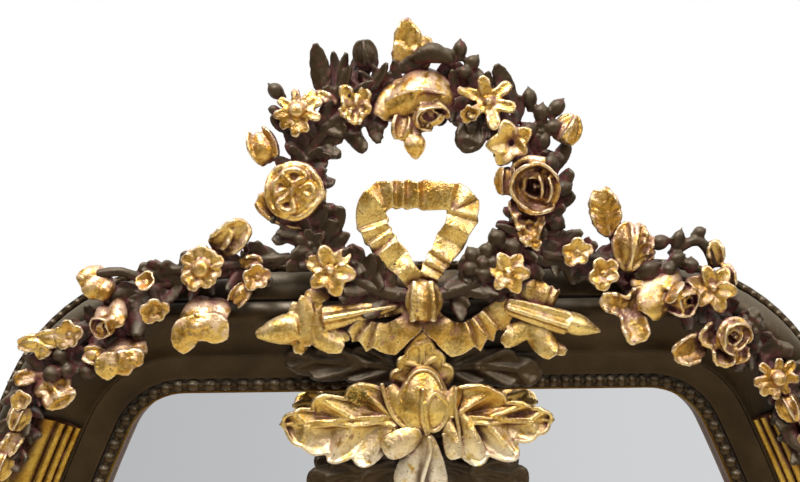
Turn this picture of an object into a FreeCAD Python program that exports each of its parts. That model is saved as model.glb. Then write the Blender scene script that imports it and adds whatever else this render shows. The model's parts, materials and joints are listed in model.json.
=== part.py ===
import FreeCAD, Part
import math
import os

# Crested wall mirror in a moulded frame. Sizes are in millimetres and angles in degrees.
# X runs to the right, Y to the back and Z up, so the front faces -Y.
# The origin is the middle of the bottom rail's back face. A front distance is measured from the back plane.

# Sight opening: straight top and bottom, round corners and sides that bow outwards
TOP_STRAIGHT = 428.0
CORNER_RADIUS = 57.0
CORNER_TURN = 65.0
SIDE_CHORD = 1000.0

# What lies in the rebate, from the back to the front
BLOCK_SETBACK = 2.0
BLOCK_THICKNESS = 5.0
BLOCK_WIDTH = 7.0
BLOCK_LENGTH = 26.0
BACKBOARD_THICKNESS = 5.0
GLASS_THICKNESS = 4.0
REBATE_WIDTH = 12.0
GLASS_CLEARANCE = 1.5

# Moulding of the frame, from the sight edge outwards
LIP_THICKNESS = 11.0
BEAD_LEDGE_WIDTH = 13.0
INNER_BEAD_RADIUS = 5.5
BAND_STEP = 3.0
BAND_WIDTH = 22.0
BAND_RISE = 7.0
BAND_HOLLOW = 1.5
FILLET_STEP = 3.0
FILLET_WIDTH = 2.0
COVE_WIDTH = 27.0
COVE_RISE = 9.0
COVE_HOLLOW = 3.0
ROLL_WIDTH = 21.0
ROLL_CROWN = 4.5
GROOVE_WIDTH = 2.0
GROOVE_DEPTH = 4.0
OUTER_BAND_WIDTH = 24.0
OUTER_BAND_FALL = 9.0
OUTER_BAND_CROWN = 3.0
OUTER_LEDGE_WIDTH = 8.0
OUTER_LEDGE_DROP = 8.0
OUTER_BEAD_RADIUS = 3.8

# Gilded reeded strips that lie in the cove and on the roll of each stile
REED_END_GAP = 12.0
REED_RIB_HEIGHT = 3.5
REED_BAND_HEIGHT = 2.5

# Hangers let into the backs of the stiles
HANGER_DROP = 330.0
POCKET_WIDTH = 36.0
POCKET_LENGTH = 78.0
POCKET_DEPTH = 9.0
PLATE_WIDTH = 14.0
PLATE_LENGTH = 44.0
PLATE_THICKNESS = 1.5
RING_WIRE_RADIUS = 2.0
RING_BAR_HALF = 8.0
RING_BEND_RADIUS = 4.0
RING_CLEARANCE = 0.3
BARREL_LENGTH = 11.0

# Countersunk wood screws
SCREW_HEAD_RADIUS = 3.6
SCREW_HEAD_HEIGHT = 2.2
SCREW_SHANK_RADIUS = 1.8
SCREW_LENGTH = 20.0

# Iron stays behind the wreath
STAY_SPREAD = 88.0
STAY_WIDTH = 20.0
STAY_THICKNESS = 4.0
STAY_FOOT = 70.0
STAY_HEAD = 12.0
STAY_PIN_RADIUS = 5.0

# Wreath: an oval of two branches that meet in the knot
WREATH_X = 4.0
WREATH_RISE = 180.0
WREATH_HALF_WIDTH = 104.0
WREATH_HALF_HEIGHT = 91.0
WREATH_FRONT = 14.0
WREATH_BRANCH_RADIUS = 9.0
WREATH_RUNS = 7
WREATH_TOP_GAP = 6.0
TOP_LEAF_WIDTH = 32.0
TOP_LEAF_FRONT = 22.0

# Garlands along the top corners
STEM_RADIUS = 6.0
STEM_CLEARANCE = 0.3
STALK_RADIUS = 2.4
BUD_STEPS = 6
DAISY_DEPTH = 14.0
GARLAND_ROSE_FRONT = 24.0
GARLAND_DAISY_FRONT = 26.0
GARLAND_BUD_FRONT = 20.0
GARLAND_LEAF_FRONT = 12.0
LILY_MOUTH_FRONT = 34.0

# Ribbon, torch and quiver
RIBBON_THICKNESS = 10.0
RIBBON_WIDTH = 27.0
LOOP_RADIUS = 51.0
LOOP_FRONT = 14.0
KNOT_RADIUS = 15.0
KNOT_HEIGHT = 34.0
KNOT_RISE = 87.0
KNOT_FRONT = 19.0
TAIL_FRONT = 2.0
TAIL_THICKNESS = 12.0
TORCH_RADIUS = 9.0
QUIVER_RADIUS = 15.0
TROPHY_FRONT = 13.0

# Leaves at the middle of the top rail
CREST_LEAF_THICKNESS = 13.0
CREST_LEAF_BEHIND = 2.0
CREST_BUD_RADIUS = 21.0
BACKING_THICKNESS = 20.0
LEAF_THICKNESS = 7.0

# Sizes that follow from the ones above
SIDE_LEAN = 90.0 - CORNER_TURN
SIDE_RADIUS = SIDE_CHORD / 2 / math.sin(math.radians(SIDE_LEAN))
BACKBOARD_BACK = BLOCK_SETBACK + BLOCK_THICKNESS
GLASS_BACK = BACKBOARD_BACK + BACKBOARD_THICKNESS
LIP_BACK = GLASS_BACK + GLASS_THICKNESS
LIP_FRONT = LIP_BACK + LIP_THICKNESS
BAND_START = BEAD_LEDGE_WIDTH
BAND_END = BAND_START + BAND_WIDTH
COVE_START = BAND_END + FILLET_WIDTH
ROLL_START = COVE_START + COVE_WIDTH
ROLL_END = ROLL_START + ROLL_WIDTH
OUTER_BAND_START = ROLL_END + GROOVE_WIDTH
OUTER_BAND_END = OUTER_BAND_START + OUTER_BAND_WIDTH
RAIL_WIDTH = OUTER_BAND_END + OUTER_LEDGE_WIDTH
BAND_FRONT = LIP_FRONT + BAND_STEP
FILLET_FRONT = BAND_FRONT + BAND_RISE + FILLET_STEP
ROLL_FRONT = FILLET_FRONT + COVE_RISE
SEAT = ROLL_FRONT + ROLL_CROWN
GROOVE_FRONT = ROLL_FRONT - GROOVE_DEPTH
OUTER_BAND_FRONT = ROLL_FRONT - OUTER_BAND_FALL
OUTER_LEDGE_FRONT = OUTER_BAND_FRONT - OUTER_LEDGE_DROP
STEM_FRONT = STEM_RADIUS + STEM_CLEARANCE
STEM_END_FRONT = STEM_FRONT + REED_RIB_HEIGHT
CORNER_DROP = CORNER_RADIUS * (1 - math.cos(math.radians(CORNER_TURN)))
SIGHT_BOTTOM = RAIL_WIDTH / 2
SIGHT_TOP = SIGHT_BOTTOM + SIDE_CHORD + 2 * CORNER_DROP
BACK_AXIS = FreeCAD.Vector(0, 1, 0)
SAME_POINT = 1e-6
MITRED = 1

nodes = {}
placed = []


# Places and directions

def point(x, front, z):
    """Point at x, at a distance in front of the back plane, and at height z."""
    return FreeCAD.Vector(x, -front, z)


def crest(x, front, rise):
    """Point of the crest: front counts from the roll of the frame and rise from the sight edge."""
    return point(x, SEAT + front, SIGHT_TOP + rise)


def wreath(turn, out, front=WREATH_FRONT):
    """Point of the wreath at an angle from the right, some way outside its branch."""
    angle = math.radians(turn)
    x = WREATH_X + (WREATH_HALF_WIDTH + out) * math.cos(angle)
    rise = WREATH_RISE + (WREATH_HALF_HEIGHT + out) * math.sin(angle)
    return crest(x, front, rise)


def garland(side, out, front, rise):
    """Point of a garland: out counts from the centre of the frame's corner, away from the middle."""
    return crest(side * (TOP_STRAIGHT / 2 + out), front, rise)


def heading(turn):
    """Direction out of the frame at an angle from straight up, turning clockwise seen from the front."""
    angle = math.radians(turn)
    return FreeCAD.Vector(math.sin(angle), 0, math.cos(angle))


def facing(across=0.0, up=0.0):
    """Unit direction towards the viewer, leaning across and up."""
    return FreeCAD.Vector(across, -1, up).normalize()


def square_to(direction):
    """A unit direction square to the given one."""
    helper = FreeCAD.Vector(0, 0, 1)
    if abs(direction.z) > 0.9:
        helper = FreeCAD.Vector(1, 0, 0)
    return direction.cross(helper).normalize()


# Building blocks

def outward(solid):
    """The solid with its faces turned outwards."""
    if solid.Volume < 0:
        solid.reverse()
    return solid


def closed_face(corners):
    """Face whose corners are points, or (middle, end) pairs for arcs."""
    edges = []
    here = corners[0]
    for corner in corners[1:]:
        if isinstance(corner, tuple):
            edges.append(Part.Arc(here, corner[0], corner[1]).toShape())
            here = corner[1]
        else:
            edges.append(Part.makeLine(here, corner))
            here = corner
    if here.distanceToPoint(corners[0]) > SAME_POINT:
        edges.append(Part.makeLine(here, corners[0]))
    return Part.Face(Part.Wire(edges))


def lathe(start, end, outline, hollow=0.0):
    """Turned solid about the line from start to end; the outline is (share of length, radius) pairs."""
    along = end.sub(start)
    across = square_to(FreeCAD.Vector(along).normalize())
    corners = [start]
    for share, radius in outline:
        corners.append(start + along * share + across * radius)
    corners.append(end - along * hollow)
    return outward(Part.Face(Part.makePolygon(corners + [start])).revolve(start, along, 360))


def bud(start, end, radius):
    """Closed bud, pointed at both ends."""
    outline = []
    for step in range(1, BUD_STEPS):
        share = step / BUD_STEPS
        outline.append((share, radius * math.sin(math.pi * share)))
    return lathe(start, end, outline)


def rose(centre, front, radius, depth):
    """Open rose with three rings of petals, facing the given way."""
    outline = [(0.0, 0.5 * radius), (0.3, 0.95 * radius), (0.55, radius), (0.6, 0.74 * radius),
               (0.85, 0.68 * radius), (0.8, 0.4 * radius), (1.0, 0.28 * radius)]
    return lathe(centre - front * (depth / 2), centre + front * (depth / 2), outline, hollow=0.1)


def bell(base, mouth, radius):
    """Bell-shaped blossom with a hollow mouth."""
    outline = [(0.0, 0.3 * radius), (0.2, 0.55 * radius), (0.6, 0.6 * radius), (0.85, 0.8 * radius),
               (1.0, radius)]
    return lathe(base, mouth, outline, hollow=0.3)


def daisy(centre, front, radius, depth, petals):
    """Flat flower with round petals and a raised button."""
    across = square_to(front)
    upright = front.cross(across)
    back = centre - front * (depth / 2)

    def rim(share, reach):
        angle = 2 * math.pi * share / petals
        return back + across * (reach * math.cos(angle)) + upright * (reach * math.sin(angle))

    half_petal = math.pi / petals
    valley = radius / (math.sin(half_petal) + math.cos(half_petal))
    corners = [rim(-0.5, valley)]
    for petal in range(petals):
        corners.append((rim(petal, radius), rim(petal + 0.5, valley)))
    disc = outward(closed_face(corners).extrude(front * (0.6 * depth)))
    button = lathe(back, back + front * depth, [(0.0, 0.34 * radius), (0.8, 0.34 * radius), (1.0, 0.2 * radius)])
    return disc.fuse(button)


def leaf(base, tip, width, front, thickness=LEAF_THICKNESS):
    """Flat leaf with two curved edges from its base to its tip."""
    along = tip.sub(base)
    across = front.cross(along).normalize() * (width / 2)
    middle = (base + tip) * 0.5
    face = closed_face([base, (middle + across, tip), (middle - across, base)])
    return outward(face.extrude(front * thickness))


def slab(corners, front, thickness):
    """Flat piece of even thickness; its corners are (x, rise) pairs of the crest."""
    face = closed_face([crest(x, front, rise) for x, rise in corners])
    return outward(face.extrude(point(0, thickness, 0)))


def rod(start, end, radius):
    """Round rod from start to end."""
    along = end.sub(start)
    return Part.makeCylinder(radius, along.Length, start, along)


def twig(points, radius):
    """Round twig through the points, mitred where it turns."""
    ring = Part.Circle(points[0], points[1].sub(points[0]), radius).toShape()
    return outward(Part.makePolygon(points).makePipeShell([Part.Wire(ring)], True, False, MITRED))


def nearest(place, points):
    """The point on the line through the points that lies nearest to a place."""
    best = points[0]
    for start, end in zip(points, points[1:]):
        run = end.sub(start)
        share = place.sub(start).dot(run) / run.dot(run)
        candidate = start + run * min(1.0, max(0.0, share))
        if candidate.distanceToPoint(place) < best.distanceToPoint(place):
            best = candidate
    return best


def stalked(solid, place, points):
    """The piece with a wire stalk from its middle to the nearest point of its branch."""
    end = nearest(place, points)
    if end.distanceToPoint(place) < STALK_RADIUS:
        return solid
    return solid.fuse(rod(place, end, STALK_RADIUS))


# Keeping the pieces

def keep(node, solid):
    """Keeps a finished solid in its node."""
    nodes.setdefault(node, []).append(solid)
    placed.append(solid)


def seat(node, solid):
    """Keeps a solid after cutting it back to the faces of the pieces it meets."""
    met = [other for other in placed if other.BoundBox.intersect(solid.BoundBox)]
    trimmed = solid.cut(met) if met else solid
    largest = max(trimmed.Solids, key=lambda piece: piece.Volume)
    keep(node, largest)


# Frame

def arc_run(outline, centre, radius, start_turn, turn):
    """Moulding with the given outline round an arc of the sight edge."""
    corners = []
    for corner in outline:
        corners.append(outline_corner(corner, lambda out, front: centre + heading(start_turn) * (radius + out)
                                      + point(0, front, 0)))
    return outward(closed_face(corners).revolve(centre, BACK_AXIS, turn))


def straight_run(outline, start, turn, length):
    """Moulding with the given outline along a straight stretch of the sight edge."""
    corners = []
    for corner in outline:
        corners.append(outline_corner(corner, lambda out, front: start + heading(turn) * out
                                      + point(0, front, 0)))
    return outward(closed_face(corners).extrude(heading(turn + 90) * length))


def outline_corner(corner, locate):
    """An outline's (out, front) corner, or its (middle, end) pair for an arc, in space."""
    if isinstance(corner[0], tuple):
        return (locate(*corner[0]), locate(*corner[1]))
    return locate(*corner)


CORNER_TOP = point(TOP_STRAIGHT / 2, 0, SIGHT_TOP - CORNER_RADIUS)
CORNER_LOW = point(TOP_STRAIGHT / 2, 0, SIGHT_BOTTOM + CORNER_RADIUS)
SIDE_CENTRE = CORNER_TOP + heading(CORNER_TURN) * (CORNER_RADIUS - SIDE_RADIUS)
SIDE_TURN = 2 * SIDE_LEAN


def across_middle(place):
    """The same place on the other side of the middle."""
    return FreeCAD.Vector(-place.x, place.y, place.z)


def run_of(piece, outline):
    """Moulding of one frame piece with the given outline."""
    if piece == "top_rail":
        return straight_run(outline, point(-TOP_STRAIGHT / 2, 0, SIGHT_TOP), 0, TOP_STRAIGHT)
    if piece == "bottom_rail":
        return straight_run(outline, point(TOP_STRAIGHT / 2, 0, SIGHT_BOTTOM), 180, TOP_STRAIGHT)
    centre, radius, start, turn = ARC_PIECES[piece]
    return arc_run(outline, centre, radius, start, turn)


ARC_PIECES = {
    "corner_top_right": (CORNER_TOP, CORNER_RADIUS, 0, CORNER_TURN),
    "stile_right": (SIDE_CENTRE, SIDE_RADIUS, CORNER_TURN, SIDE_TURN),
    "corner_bottom_right": (CORNER_LOW, CORNER_RADIUS, 180 - CORNER_TURN, CORNER_TURN),
    "corner_bottom_left": (across_middle(CORNER_LOW), CORNER_RADIUS, 180, CORNER_TURN),
    "stile_left": (across_middle(SIDE_CENTRE), SIDE_RADIUS, 180 + CORNER_TURN, SIDE_TURN),
    "corner_top_left": (across_middle(CORNER_TOP), CORNER_RADIUS, 360 - CORNER_TURN, CORNER_TURN),
}
FRAME_PIECES = ["top_rail", "bottom_rail"] + list(ARC_PIECES)

COVE_MIDDLE = ((COVE_START + ROLL_START) / 2, (FILLET_FRONT + ROLL_FRONT) / 2 - COVE_HOLLOW)
ROLL_MIDDLE = ((ROLL_START + ROLL_END) / 2, SEAT)
RAIL_OUTLINE = [
    (0, LIP_BACK),
    (0, LIP_FRONT),
    (BAND_START, LIP_FRONT),
    (BAND_START, BAND_FRONT),
    (((BAND_START + BAND_END) / 2, BAND_FRONT + BAND_RISE / 2 - BAND_HOLLOW), (BAND_END, BAND_FRONT + BAND_RISE)),
    (BAND_END, FILLET_FRONT),
    (COVE_START, FILLET_FRONT),
    (COVE_MIDDLE, (ROLL_START, ROLL_FRONT)),
    (ROLL_MIDDLE, (ROLL_END, ROLL_FRONT)),
    (ROLL_END, GROOVE_FRONT),
    (OUTER_BAND_START, GROOVE_FRONT),
    (OUTER_BAND_START, ROLL_FRONT),
    (((OUTER_BAND_START + OUTER_BAND_END) / 2, (ROLL_FRONT + OUTER_BAND_FRONT) / 2 + OUTER_BAND_CROWN),
     (OUTER_BAND_END, OUTER_BAND_FRONT)),
    (OUTER_BAND_END, OUTER_LEDGE_FRONT),
    (RAIL_WIDTH, OUTER_LEDGE_FRONT),
    (RAIL_WIDTH, 0),
    (REBATE_WIDTH, 0),
    (REBATE_WIDTH, LIP_BACK),
]


def bead_outline(middle, radius, front):
    """Half-round strip that lies on a ledge of the frame."""
    return [(middle - radius, front), ((middle, front + radius), (middle + radius, front))]


def block_outline():
    """Small block in the rebate behind the backboard."""
    return [(REBATE_WIDTH - BLOCK_WIDTH, BLOCK_SETBACK), (REBATE_WIDTH - BLOCK_WIDTH, BACKBOARD_BACK),
            (REBATE_WIDTH, BACKBOARD_BACK), (REBATE_WIDTH, BLOCK_SETBACK)]


def reed_outline():
    """Two ribs and a flat band that lie in the cove and over the roll."""
    rib_foot = (COVE_START + 0.45 * COVE_WIDTH, FILLET_FRONT + REED_RIB_HEIGHT)
    rib_top = (COVE_START + 0.22 * COVE_WIDTH, FILLET_FRONT + 2.2 * REED_RIB_HEIGHT)
    large_top = (ROLL_START - 0.12 * COVE_WIDTH, SEAT + REED_RIB_HEIGHT)
    large_end = (ROLL_START + 0.3 * ROLL_WIDTH, SEAT + REED_BAND_HEIGHT)
    return [
        (COVE_START, FILLET_FRONT),
        (COVE_START, FILLET_FRONT + REED_RIB_HEIGHT),
        (rib_top, rib_foot),
        (large_top, large_end),
        (ROLL_END, ROLL_FRONT + REED_BAND_HEIGHT),
        (ROLL_END, ROLL_FRONT),
        (ROLL_MIDDLE, (ROLL_START, ROLL_FRONT)),
        (COVE_MIDDLE, (COVE_START, FILLET_FRONT)),
    ]


def screw(head, into):
    """Countersunk screw with its head flush at a place, pointing into the wood."""
    head_share = SCREW_HEAD_HEIGHT / SCREW_LENGTH
    outline = [(0.0, SCREW_HEAD_RADIUS), (head_share, SCREW_SHANK_RADIUS), (0.85, SCREW_SHANK_RADIUS)]
    return lathe(head, head + into * SCREW_LENGTH, outline)


def hanger_axis(side):
    """Middle of the ring's bar on one stile."""
    height = SIGHT_TOP - HANGER_DROP
    reach = SIDE_RADIUS + (REBATE_WIDTH + RAIL_WIDTH) / 2
    rise = height - SIDE_CENTRE.z
    x = SIDE_CENTRE.x + math.sqrt(reach * reach - rise * rise)
    barrel_radius = RING_WIRE_RADIUS + RING_CLEARANCE + PLATE_THICKNESS
    return point(side * x, POCKET_DEPTH - barrel_radius, height)


def hanger_pocket(side):
    """Recess in the back of a stile that takes its hanger."""
    axis = hanger_axis(side)
    low = axis.z - POCKET_LENGTH + PLATE_LENGTH + POCKET_DEPTH
    corner = FreeCAD.Vector(axis.x - POCKET_WIDTH / 2, -POCKET_DEPTH, low)
    return Part.makeBox(POCKET_WIDTH, 2 * POCKET_DEPTH, POCKET_LENGTH, corner)


def hanger_screws(side):
    """The two screws of one hanger plate."""
    axis = hanger_axis(side)
    screws = []
    for share in (0.45, 0.82):
        head = point(axis.x, POCKET_DEPTH - PLATE_THICKNESS, axis.z + share * PLATE_LENGTH)
        screws.append(screw(head, point(0, 1, 0)))
    return screws


def hanger_plate(side):
    """Strap plate with a rolled barrel for the ring at its lower end."""
    axis = hanger_axis(side)
    bore = RING_WIRE_RADIUS + RING_CLEARANCE
    start = axis - FreeCAD.Vector(BARREL_LENGTH / 2, 0, 0)
    barrel = Part.makeCylinder(bore + PLATE_THICKNESS, BARREL_LENGTH, start, FreeCAD.Vector(1, 0, 0))
    corner = FreeCAD.Vector(axis.x - PLATE_WIDTH / 2, -POCKET_DEPTH, axis.z + PLATE_THICKNESS)
    strap = Part.makeBox(PLATE_WIDTH, PLATE_THICKNESS, PLATE_LENGTH - PLATE_THICKNESS, corner)
    hole = Part.makeCylinder(bore, 3 * BARREL_LENGTH, axis - FreeCAD.Vector(1.5 * BARREL_LENGTH, 0, 0),
                             FreeCAD.Vector(1, 0, 0))
    return barrel.fuse(strap).cut([hole] + hanger_screws(side))


def hanger_ring(side):
    """D-shaped wire ring that hangs from its straight bar."""
    axis = hanger_axis(side)
    sideways = FreeCAD.Vector(1, 0, 0)
    down = FreeCAD.Vector(0, 0, -1)
    bow_radius = RING_BAR_HALF + RING_BEND_RADIUS
    bow_centre = axis + down * RING_BEND_RADIUS
    pieces = [rod(axis - sideways * RING_BAR_HALF, axis + sideways * RING_BAR_HALF, RING_WIRE_RADIUS)]
    for edge in (-1, 1):
        bend_centre = axis + sideways * (edge * RING_BAR_HALF) + down * RING_BEND_RADIUS
        wire = Part.Circle(axis + sideways * (edge * RING_BAR_HALF), sideways, RING_WIRE_RADIUS).toShape()
        pieces.append(outward(Part.Face(Part.Wire(wire)).revolve(bend_centre, BACK_AXIS * edge, 90)))
    wire = Part.Circle(bow_centre + sideways * bow_radius, down, RING_WIRE_RADIUS).toShape()
    pieces.append(outward(Part.Face(Part.Wire(wire)).revolve(bow_centre, BACK_AXIS, 180)))
    return pieces[0].fuse(pieces[1:]).removeSplitter()


def stay_place(side):
    """Where a stay's pin meets the wreath, as x and rise above the sight edge."""
    sink = math.sqrt(1 - (STAY_SPREAD / WREATH_HALF_WIDTH) ** 2)
    return WREATH_X + side * STAY_SPREAD, WREATH_RISE - WREATH_HALF_HEIGHT * sink


def stay(side):
    """Flat iron let into the back of the top rail, with a pin forward to the wreath."""
    x, pin_rise = stay_place(side)
    foot = SIGHT_TOP + RAIL_WIDTH - STAY_FOOT
    head = SIGHT_TOP + pin_rise + STAY_HEAD
    bar = Part.makeBox(STAY_WIDTH, STAY_THICKNESS, head - foot,
                       FreeCAD.Vector(x - STAY_WIDTH / 2, -STAY_THICKNESS, foot))
    pin = rod(point(x, STAY_THICKNESS / 2, SIGHT_TOP + pin_rise), crest(x, WREATH_FRONT, pin_rise), STAY_PIN_RADIUS)
    return bar.fuse(pin)


def stay_screws(side):
    """The two screws through one stay."""
    x = stay_place(side)[0]
    foot = SIGHT_TOP + RAIL_WIDTH - STAY_FOOT
    return [screw(point(x, 0, foot + share * STAY_FOOT), point(0, 1, 0)) for share in (0.2, 0.75)]


def sight_panel(out, back, thickness):
    """Panel with the outline of the sight edge, moved outwards, at a distance from the back plane."""
    def rim(centre, radius, turn):
        return centre + heading(turn) * (radius + out) + point(0, back, 0)

    corners = [point(-TOP_STRAIGHT / 2, back, SIGHT_TOP + out), point(TOP_STRAIGHT / 2, back, SIGHT_TOP + out)]
    for piece in ("corner_top_right", "stile_right", "corner_bottom_right"):
        centre, radius, start, turn = ARC_PIECES[piece]
        corners.append((rim(centre, radius, start + turn / 2), rim(centre, radius, start + turn)))
    corners.append(point(-TOP_STRAIGHT / 2, back, SIGHT_BOTTOM - out))
    for piece in ("corner_bottom_left", "stile_left", "corner_top_left"):
        centre, radius, start, turn = ARC_PIECES[piece]
        corners.append((rim(centre, radius, start + turn / 2), rim(centre, radius, start + turn)))
    return outward(closed_face(corners).extrude(point(0, thickness, 0)))


def build_frame():
    """Frame, trim, glass, back and hangers."""
    cuts = {"top_rail": [], "stile_left": [], "stile_right": []}
    for side, name in ((-1, "left"), (1, "right")):
        bar = stay(side)
        cuts["top_rail"] += [bar] + stay_screws(side)
        cuts["stile_" + name] += [hanger_pocket(side)] + hanger_screws(side)
        keep("crest_stay_" + name, bar.cut(stay_screws(side)))
        keep("hanger_plate_" + name, hanger_plate(side))
        keep("hanger_ring_" + name, hanger_ring(side))
        for fastener in stay_screws(side):
            keep("wood_screws", fastener)
        for fastener in hanger_screws(side):
            keep("wood_screws", fastener)
    inner_bead = bead_outline(BEAD_LEDGE_WIDTH / 2, INNER_BEAD_RADIUS, LIP_FRONT)
    outer_bead = bead_outline(RAIL_WIDTH - OUTER_LEDGE_WIDTH / 2, OUTER_BEAD_RADIUS, OUTER_LEDGE_FRONT)
    for piece in FRAME_PIECES:
        moulding = run_of(piece, RAIL_OUTLINE)
        if piece in cuts:
            moulding = moulding.cut(cuts[piece])
        keep(piece, moulding)
        keep("inner_bead_strips", run_of(piece, inner_bead))
        keep("outer_bead_strips", run_of(piece, outer_bead))
    gap_turn = math.degrees(REED_END_GAP / SIDE_RADIUS)
    for name in ("left", "right"):
        centre, radius, start, turn = ARC_PIECES["stile_" + name]
        keep("reeding_" + name, arc_run(reed_outline(), centre, radius, start + gap_turn, turn - 2 * gap_turn))
    panel_out = REBATE_WIDTH - GLASS_CLEARANCE
    keep("mirror_glass", sight_panel(panel_out, GLASS_BACK, GLASS_THICKNESS))
    keep("backboard", sight_panel(panel_out, BACKBOARD_BACK, BACKBOARD_THICKNESS))
    for share in (0.15, 0.5, 0.85):
        offset = share * TOP_STRAIGHT - BLOCK_LENGTH / 2
        top = point(offset - TOP_STRAIGHT / 2, 0, SIGHT_TOP)
        low = point(TOP_STRAIGHT / 2 - offset, 0, SIGHT_BOTTOM)
        keep("rebate_blocks", straight_run(block_outline(), top, 0, BLOCK_LENGTH))
        keep("rebate_blocks", straight_run(block_outline(), low, 180, BLOCK_LENGTH))
    block_turn = math.degrees(BLOCK_LENGTH / SIDE_RADIUS)
    for name in ("left", "right"):
        centre, radius, start, turn = ARC_PIECES["stile_" + name]
        for share in (0.1, 0.37, 0.63, 0.9):
            keep("rebate_blocks", arc_run(block_outline(), centre, radius, start + share * turn - block_turn / 2,
                                          block_turn))


# Crest

def wreath_line(side):
    """Points along one branch of the wreath, from the knot to the top."""
    points = []
    for step in range(WREATH_RUNS + 1):
        turn = step / WREATH_RUNS * (180 - WREATH_TOP_GAP)
        points.append(wreath(-90 + side * turn, 0))
    return points


def garland_line(side, stops):
    """Points along a garland stem, from the wreath outwards."""
    start = nearest(garland(side, *stops[0]), wreath_line(side))
    return [start] + [garland(side, out, front, rise) for out, front, rise in stops[1:]]


LEFT_STOPS = [(-100, STEM_FRONT, 127), (-51, STEM_FRONT, 111), (-12, STEM_FRONT, 107), (22, STEM_FRONT, 99),
              (48, STEM_FRONT, 82), (74, STEM_FRONT, 61), (104, STEM_FRONT, 36),
              (134, STEM_END_FRONT, -3), (150, STEM_END_FRONT, -42)]
RIGHT_STOPS = [(-102, STEM_FRONT, 129), (-63, STEM_FRONT, 118), (-29, STEM_FRONT, 107), (5, STEM_FRONT, 98),
               (40, STEM_FRONT, 84), (70, STEM_FRONT, 58), (96, STEM_FRONT, 28),
               (120, STEM_END_FRONT, -11), (136, STEM_END_FRONT, -50)]


def build_trophy():
    """Branches, knot, bow, torch, quiver, ribbon tails and the leaves on the middle of the rail."""
    seat("wreath_branch_left", twig(wreath_line(-1), WREATH_BRANCH_RADIUS))
    seat("wreath_branch_right", twig(wreath_line(1), WREATH_BRANCH_RADIUS))
    seat("garland_stem_left", twig(garland_line(-1, LEFT_STOPS), STEM_RADIUS))
    seat("garland_stem_right", twig(garland_line(1, RIGHT_STOPS), STEM_RADIUS))

    low = crest(WREATH_X + 2, KNOT_FRONT, KNOT_RISE - KNOT_HEIGHT / 2)
    high = crest(WREATH_X + 2, KNOT_FRONT, KNOT_RISE + KNOT_HEIGHT / 2)
    seat("ribbon_knot", lathe(low, high, [(0.0, 0.6 * KNOT_RADIUS), (0.3, KNOT_RADIUS), (0.7, KNOT_RADIUS),
                                          (1.0, 0.6 * KNOT_RADIUS)]))
    loop = bow_outline(LOOP_RADIUS).cut(bow_outline(LOOP_RADIUS - RIBBON_WIDTH))
    seat("ribbon_loop", outward(loop.extrude(point(0, RIBBON_THICKNESS, 0))))

    seat("torch", lathe(crest(-10, TROPHY_FRONT, 80), crest(-142, TROPHY_FRONT, 58),
                        [(0.0, 0.8 * TORCH_RADIUS), (0.5, TORCH_RADIUS), (0.55, 1.7 * TORCH_RADIUS),
                         (0.75, 1.9 * TORCH_RADIUS), (0.78, TORCH_RADIUS), (0.9, 1.1 * TORCH_RADIUS)]))
    seat("quiver", lathe(crest(70, TROPHY_FRONT, 92), crest(166, TROPHY_FRONT, 50),
                         [(0.0, QUIVER_RADIUS), (0.3, 1.1 * QUIVER_RADIUS), (0.8, 0.6 * QUIVER_RADIUS),
                          (0.92, 0.5 * QUIVER_RADIUS)]))
    left_tails = [[(0, 84), (-26, 74), (-58, 70), (-64, 45), (-30, 44), (-8, 60)],
                  [(-60, 72), (-84, 82), (-112, 88), (-106, 62), (-84, 52), (-62, 50)]]
    right_tails = [[(12, 84), (44, 72), (80, 74), (96, 56), (62, 44), (22, 54)],
                   [(84, 72), (112, 80), (128, 62), (118, 44), (98, 50)]]
    for corners in left_tails:
        seat("ribbon_tails_left", slab(corners, TAIL_FRONT, TAIL_THICKNESS))
    for corners in right_tails:
        seat("ribbon_tails_right", slab(corners, TAIL_FRONT, TAIL_THICKNESS))

    bud_line = (crest(6, CREST_LEAF_THICKNESS, 44), crest(4, CREST_LEAF_THICKNESS, -52))
    seat("crest_leaf_bud", bud(bud_line[0], bud_line[1], CREST_BUD_RADIUS))
    half = [(34, 33), (50, 8), (73, 3), (84, -10), (101, -9), (119, -22), (98, -32), (104, -42), (88, -56),
            (70, -48), (58, -60), (40, -52), (28, -88)]
    corners = [(4, 56)] + half + [(2, -98)] + [(-x, rise) for x, rise in reversed(half)]
    seat("crest_leaf", slab(corners, -CREST_LEAF_BEHIND, CREST_LEAF_THICKNESS))
    behind = -CREST_LEAF_BEHIND - BACKING_THICKNESS
    for side in (-1, 1):
        upper = [(8, 48), (50, 50), (84, 44), (114, 30), (86, 12), (48, 2), (8, 2)]
        seat("backing_leaves_upper", slab([(side * x, rise) for x, rise in upper], behind, BACKING_THICKNESS))
        lower = [(6, -40), (48, -36), (84, -52), (94, -74), (66, -84), (40, -100), (6, -80)]
        seat("backing_leaves_lower", slab([(side * x, rise) for x, rise in lower], behind, BACKING_THICKNESS))


def bow_outline(radius):
    """Face of a pear-shaped loop about the bow's middle, with its point in the knot."""
    middle_rise = KNOT_RISE + LOOP_RADIUS
    high = crest(0, LOOP_FRONT, middle_rise + radius)
    left = crest(-radius, LOOP_FRONT, middle_rise)
    right = crest(radius, LOOP_FRONT, middle_rise)
    foot = crest(WREATH_X, LOOP_FRONT, middle_rise - radius * 1.1)
    return closed_face([left, (high, right), foot])


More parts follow.
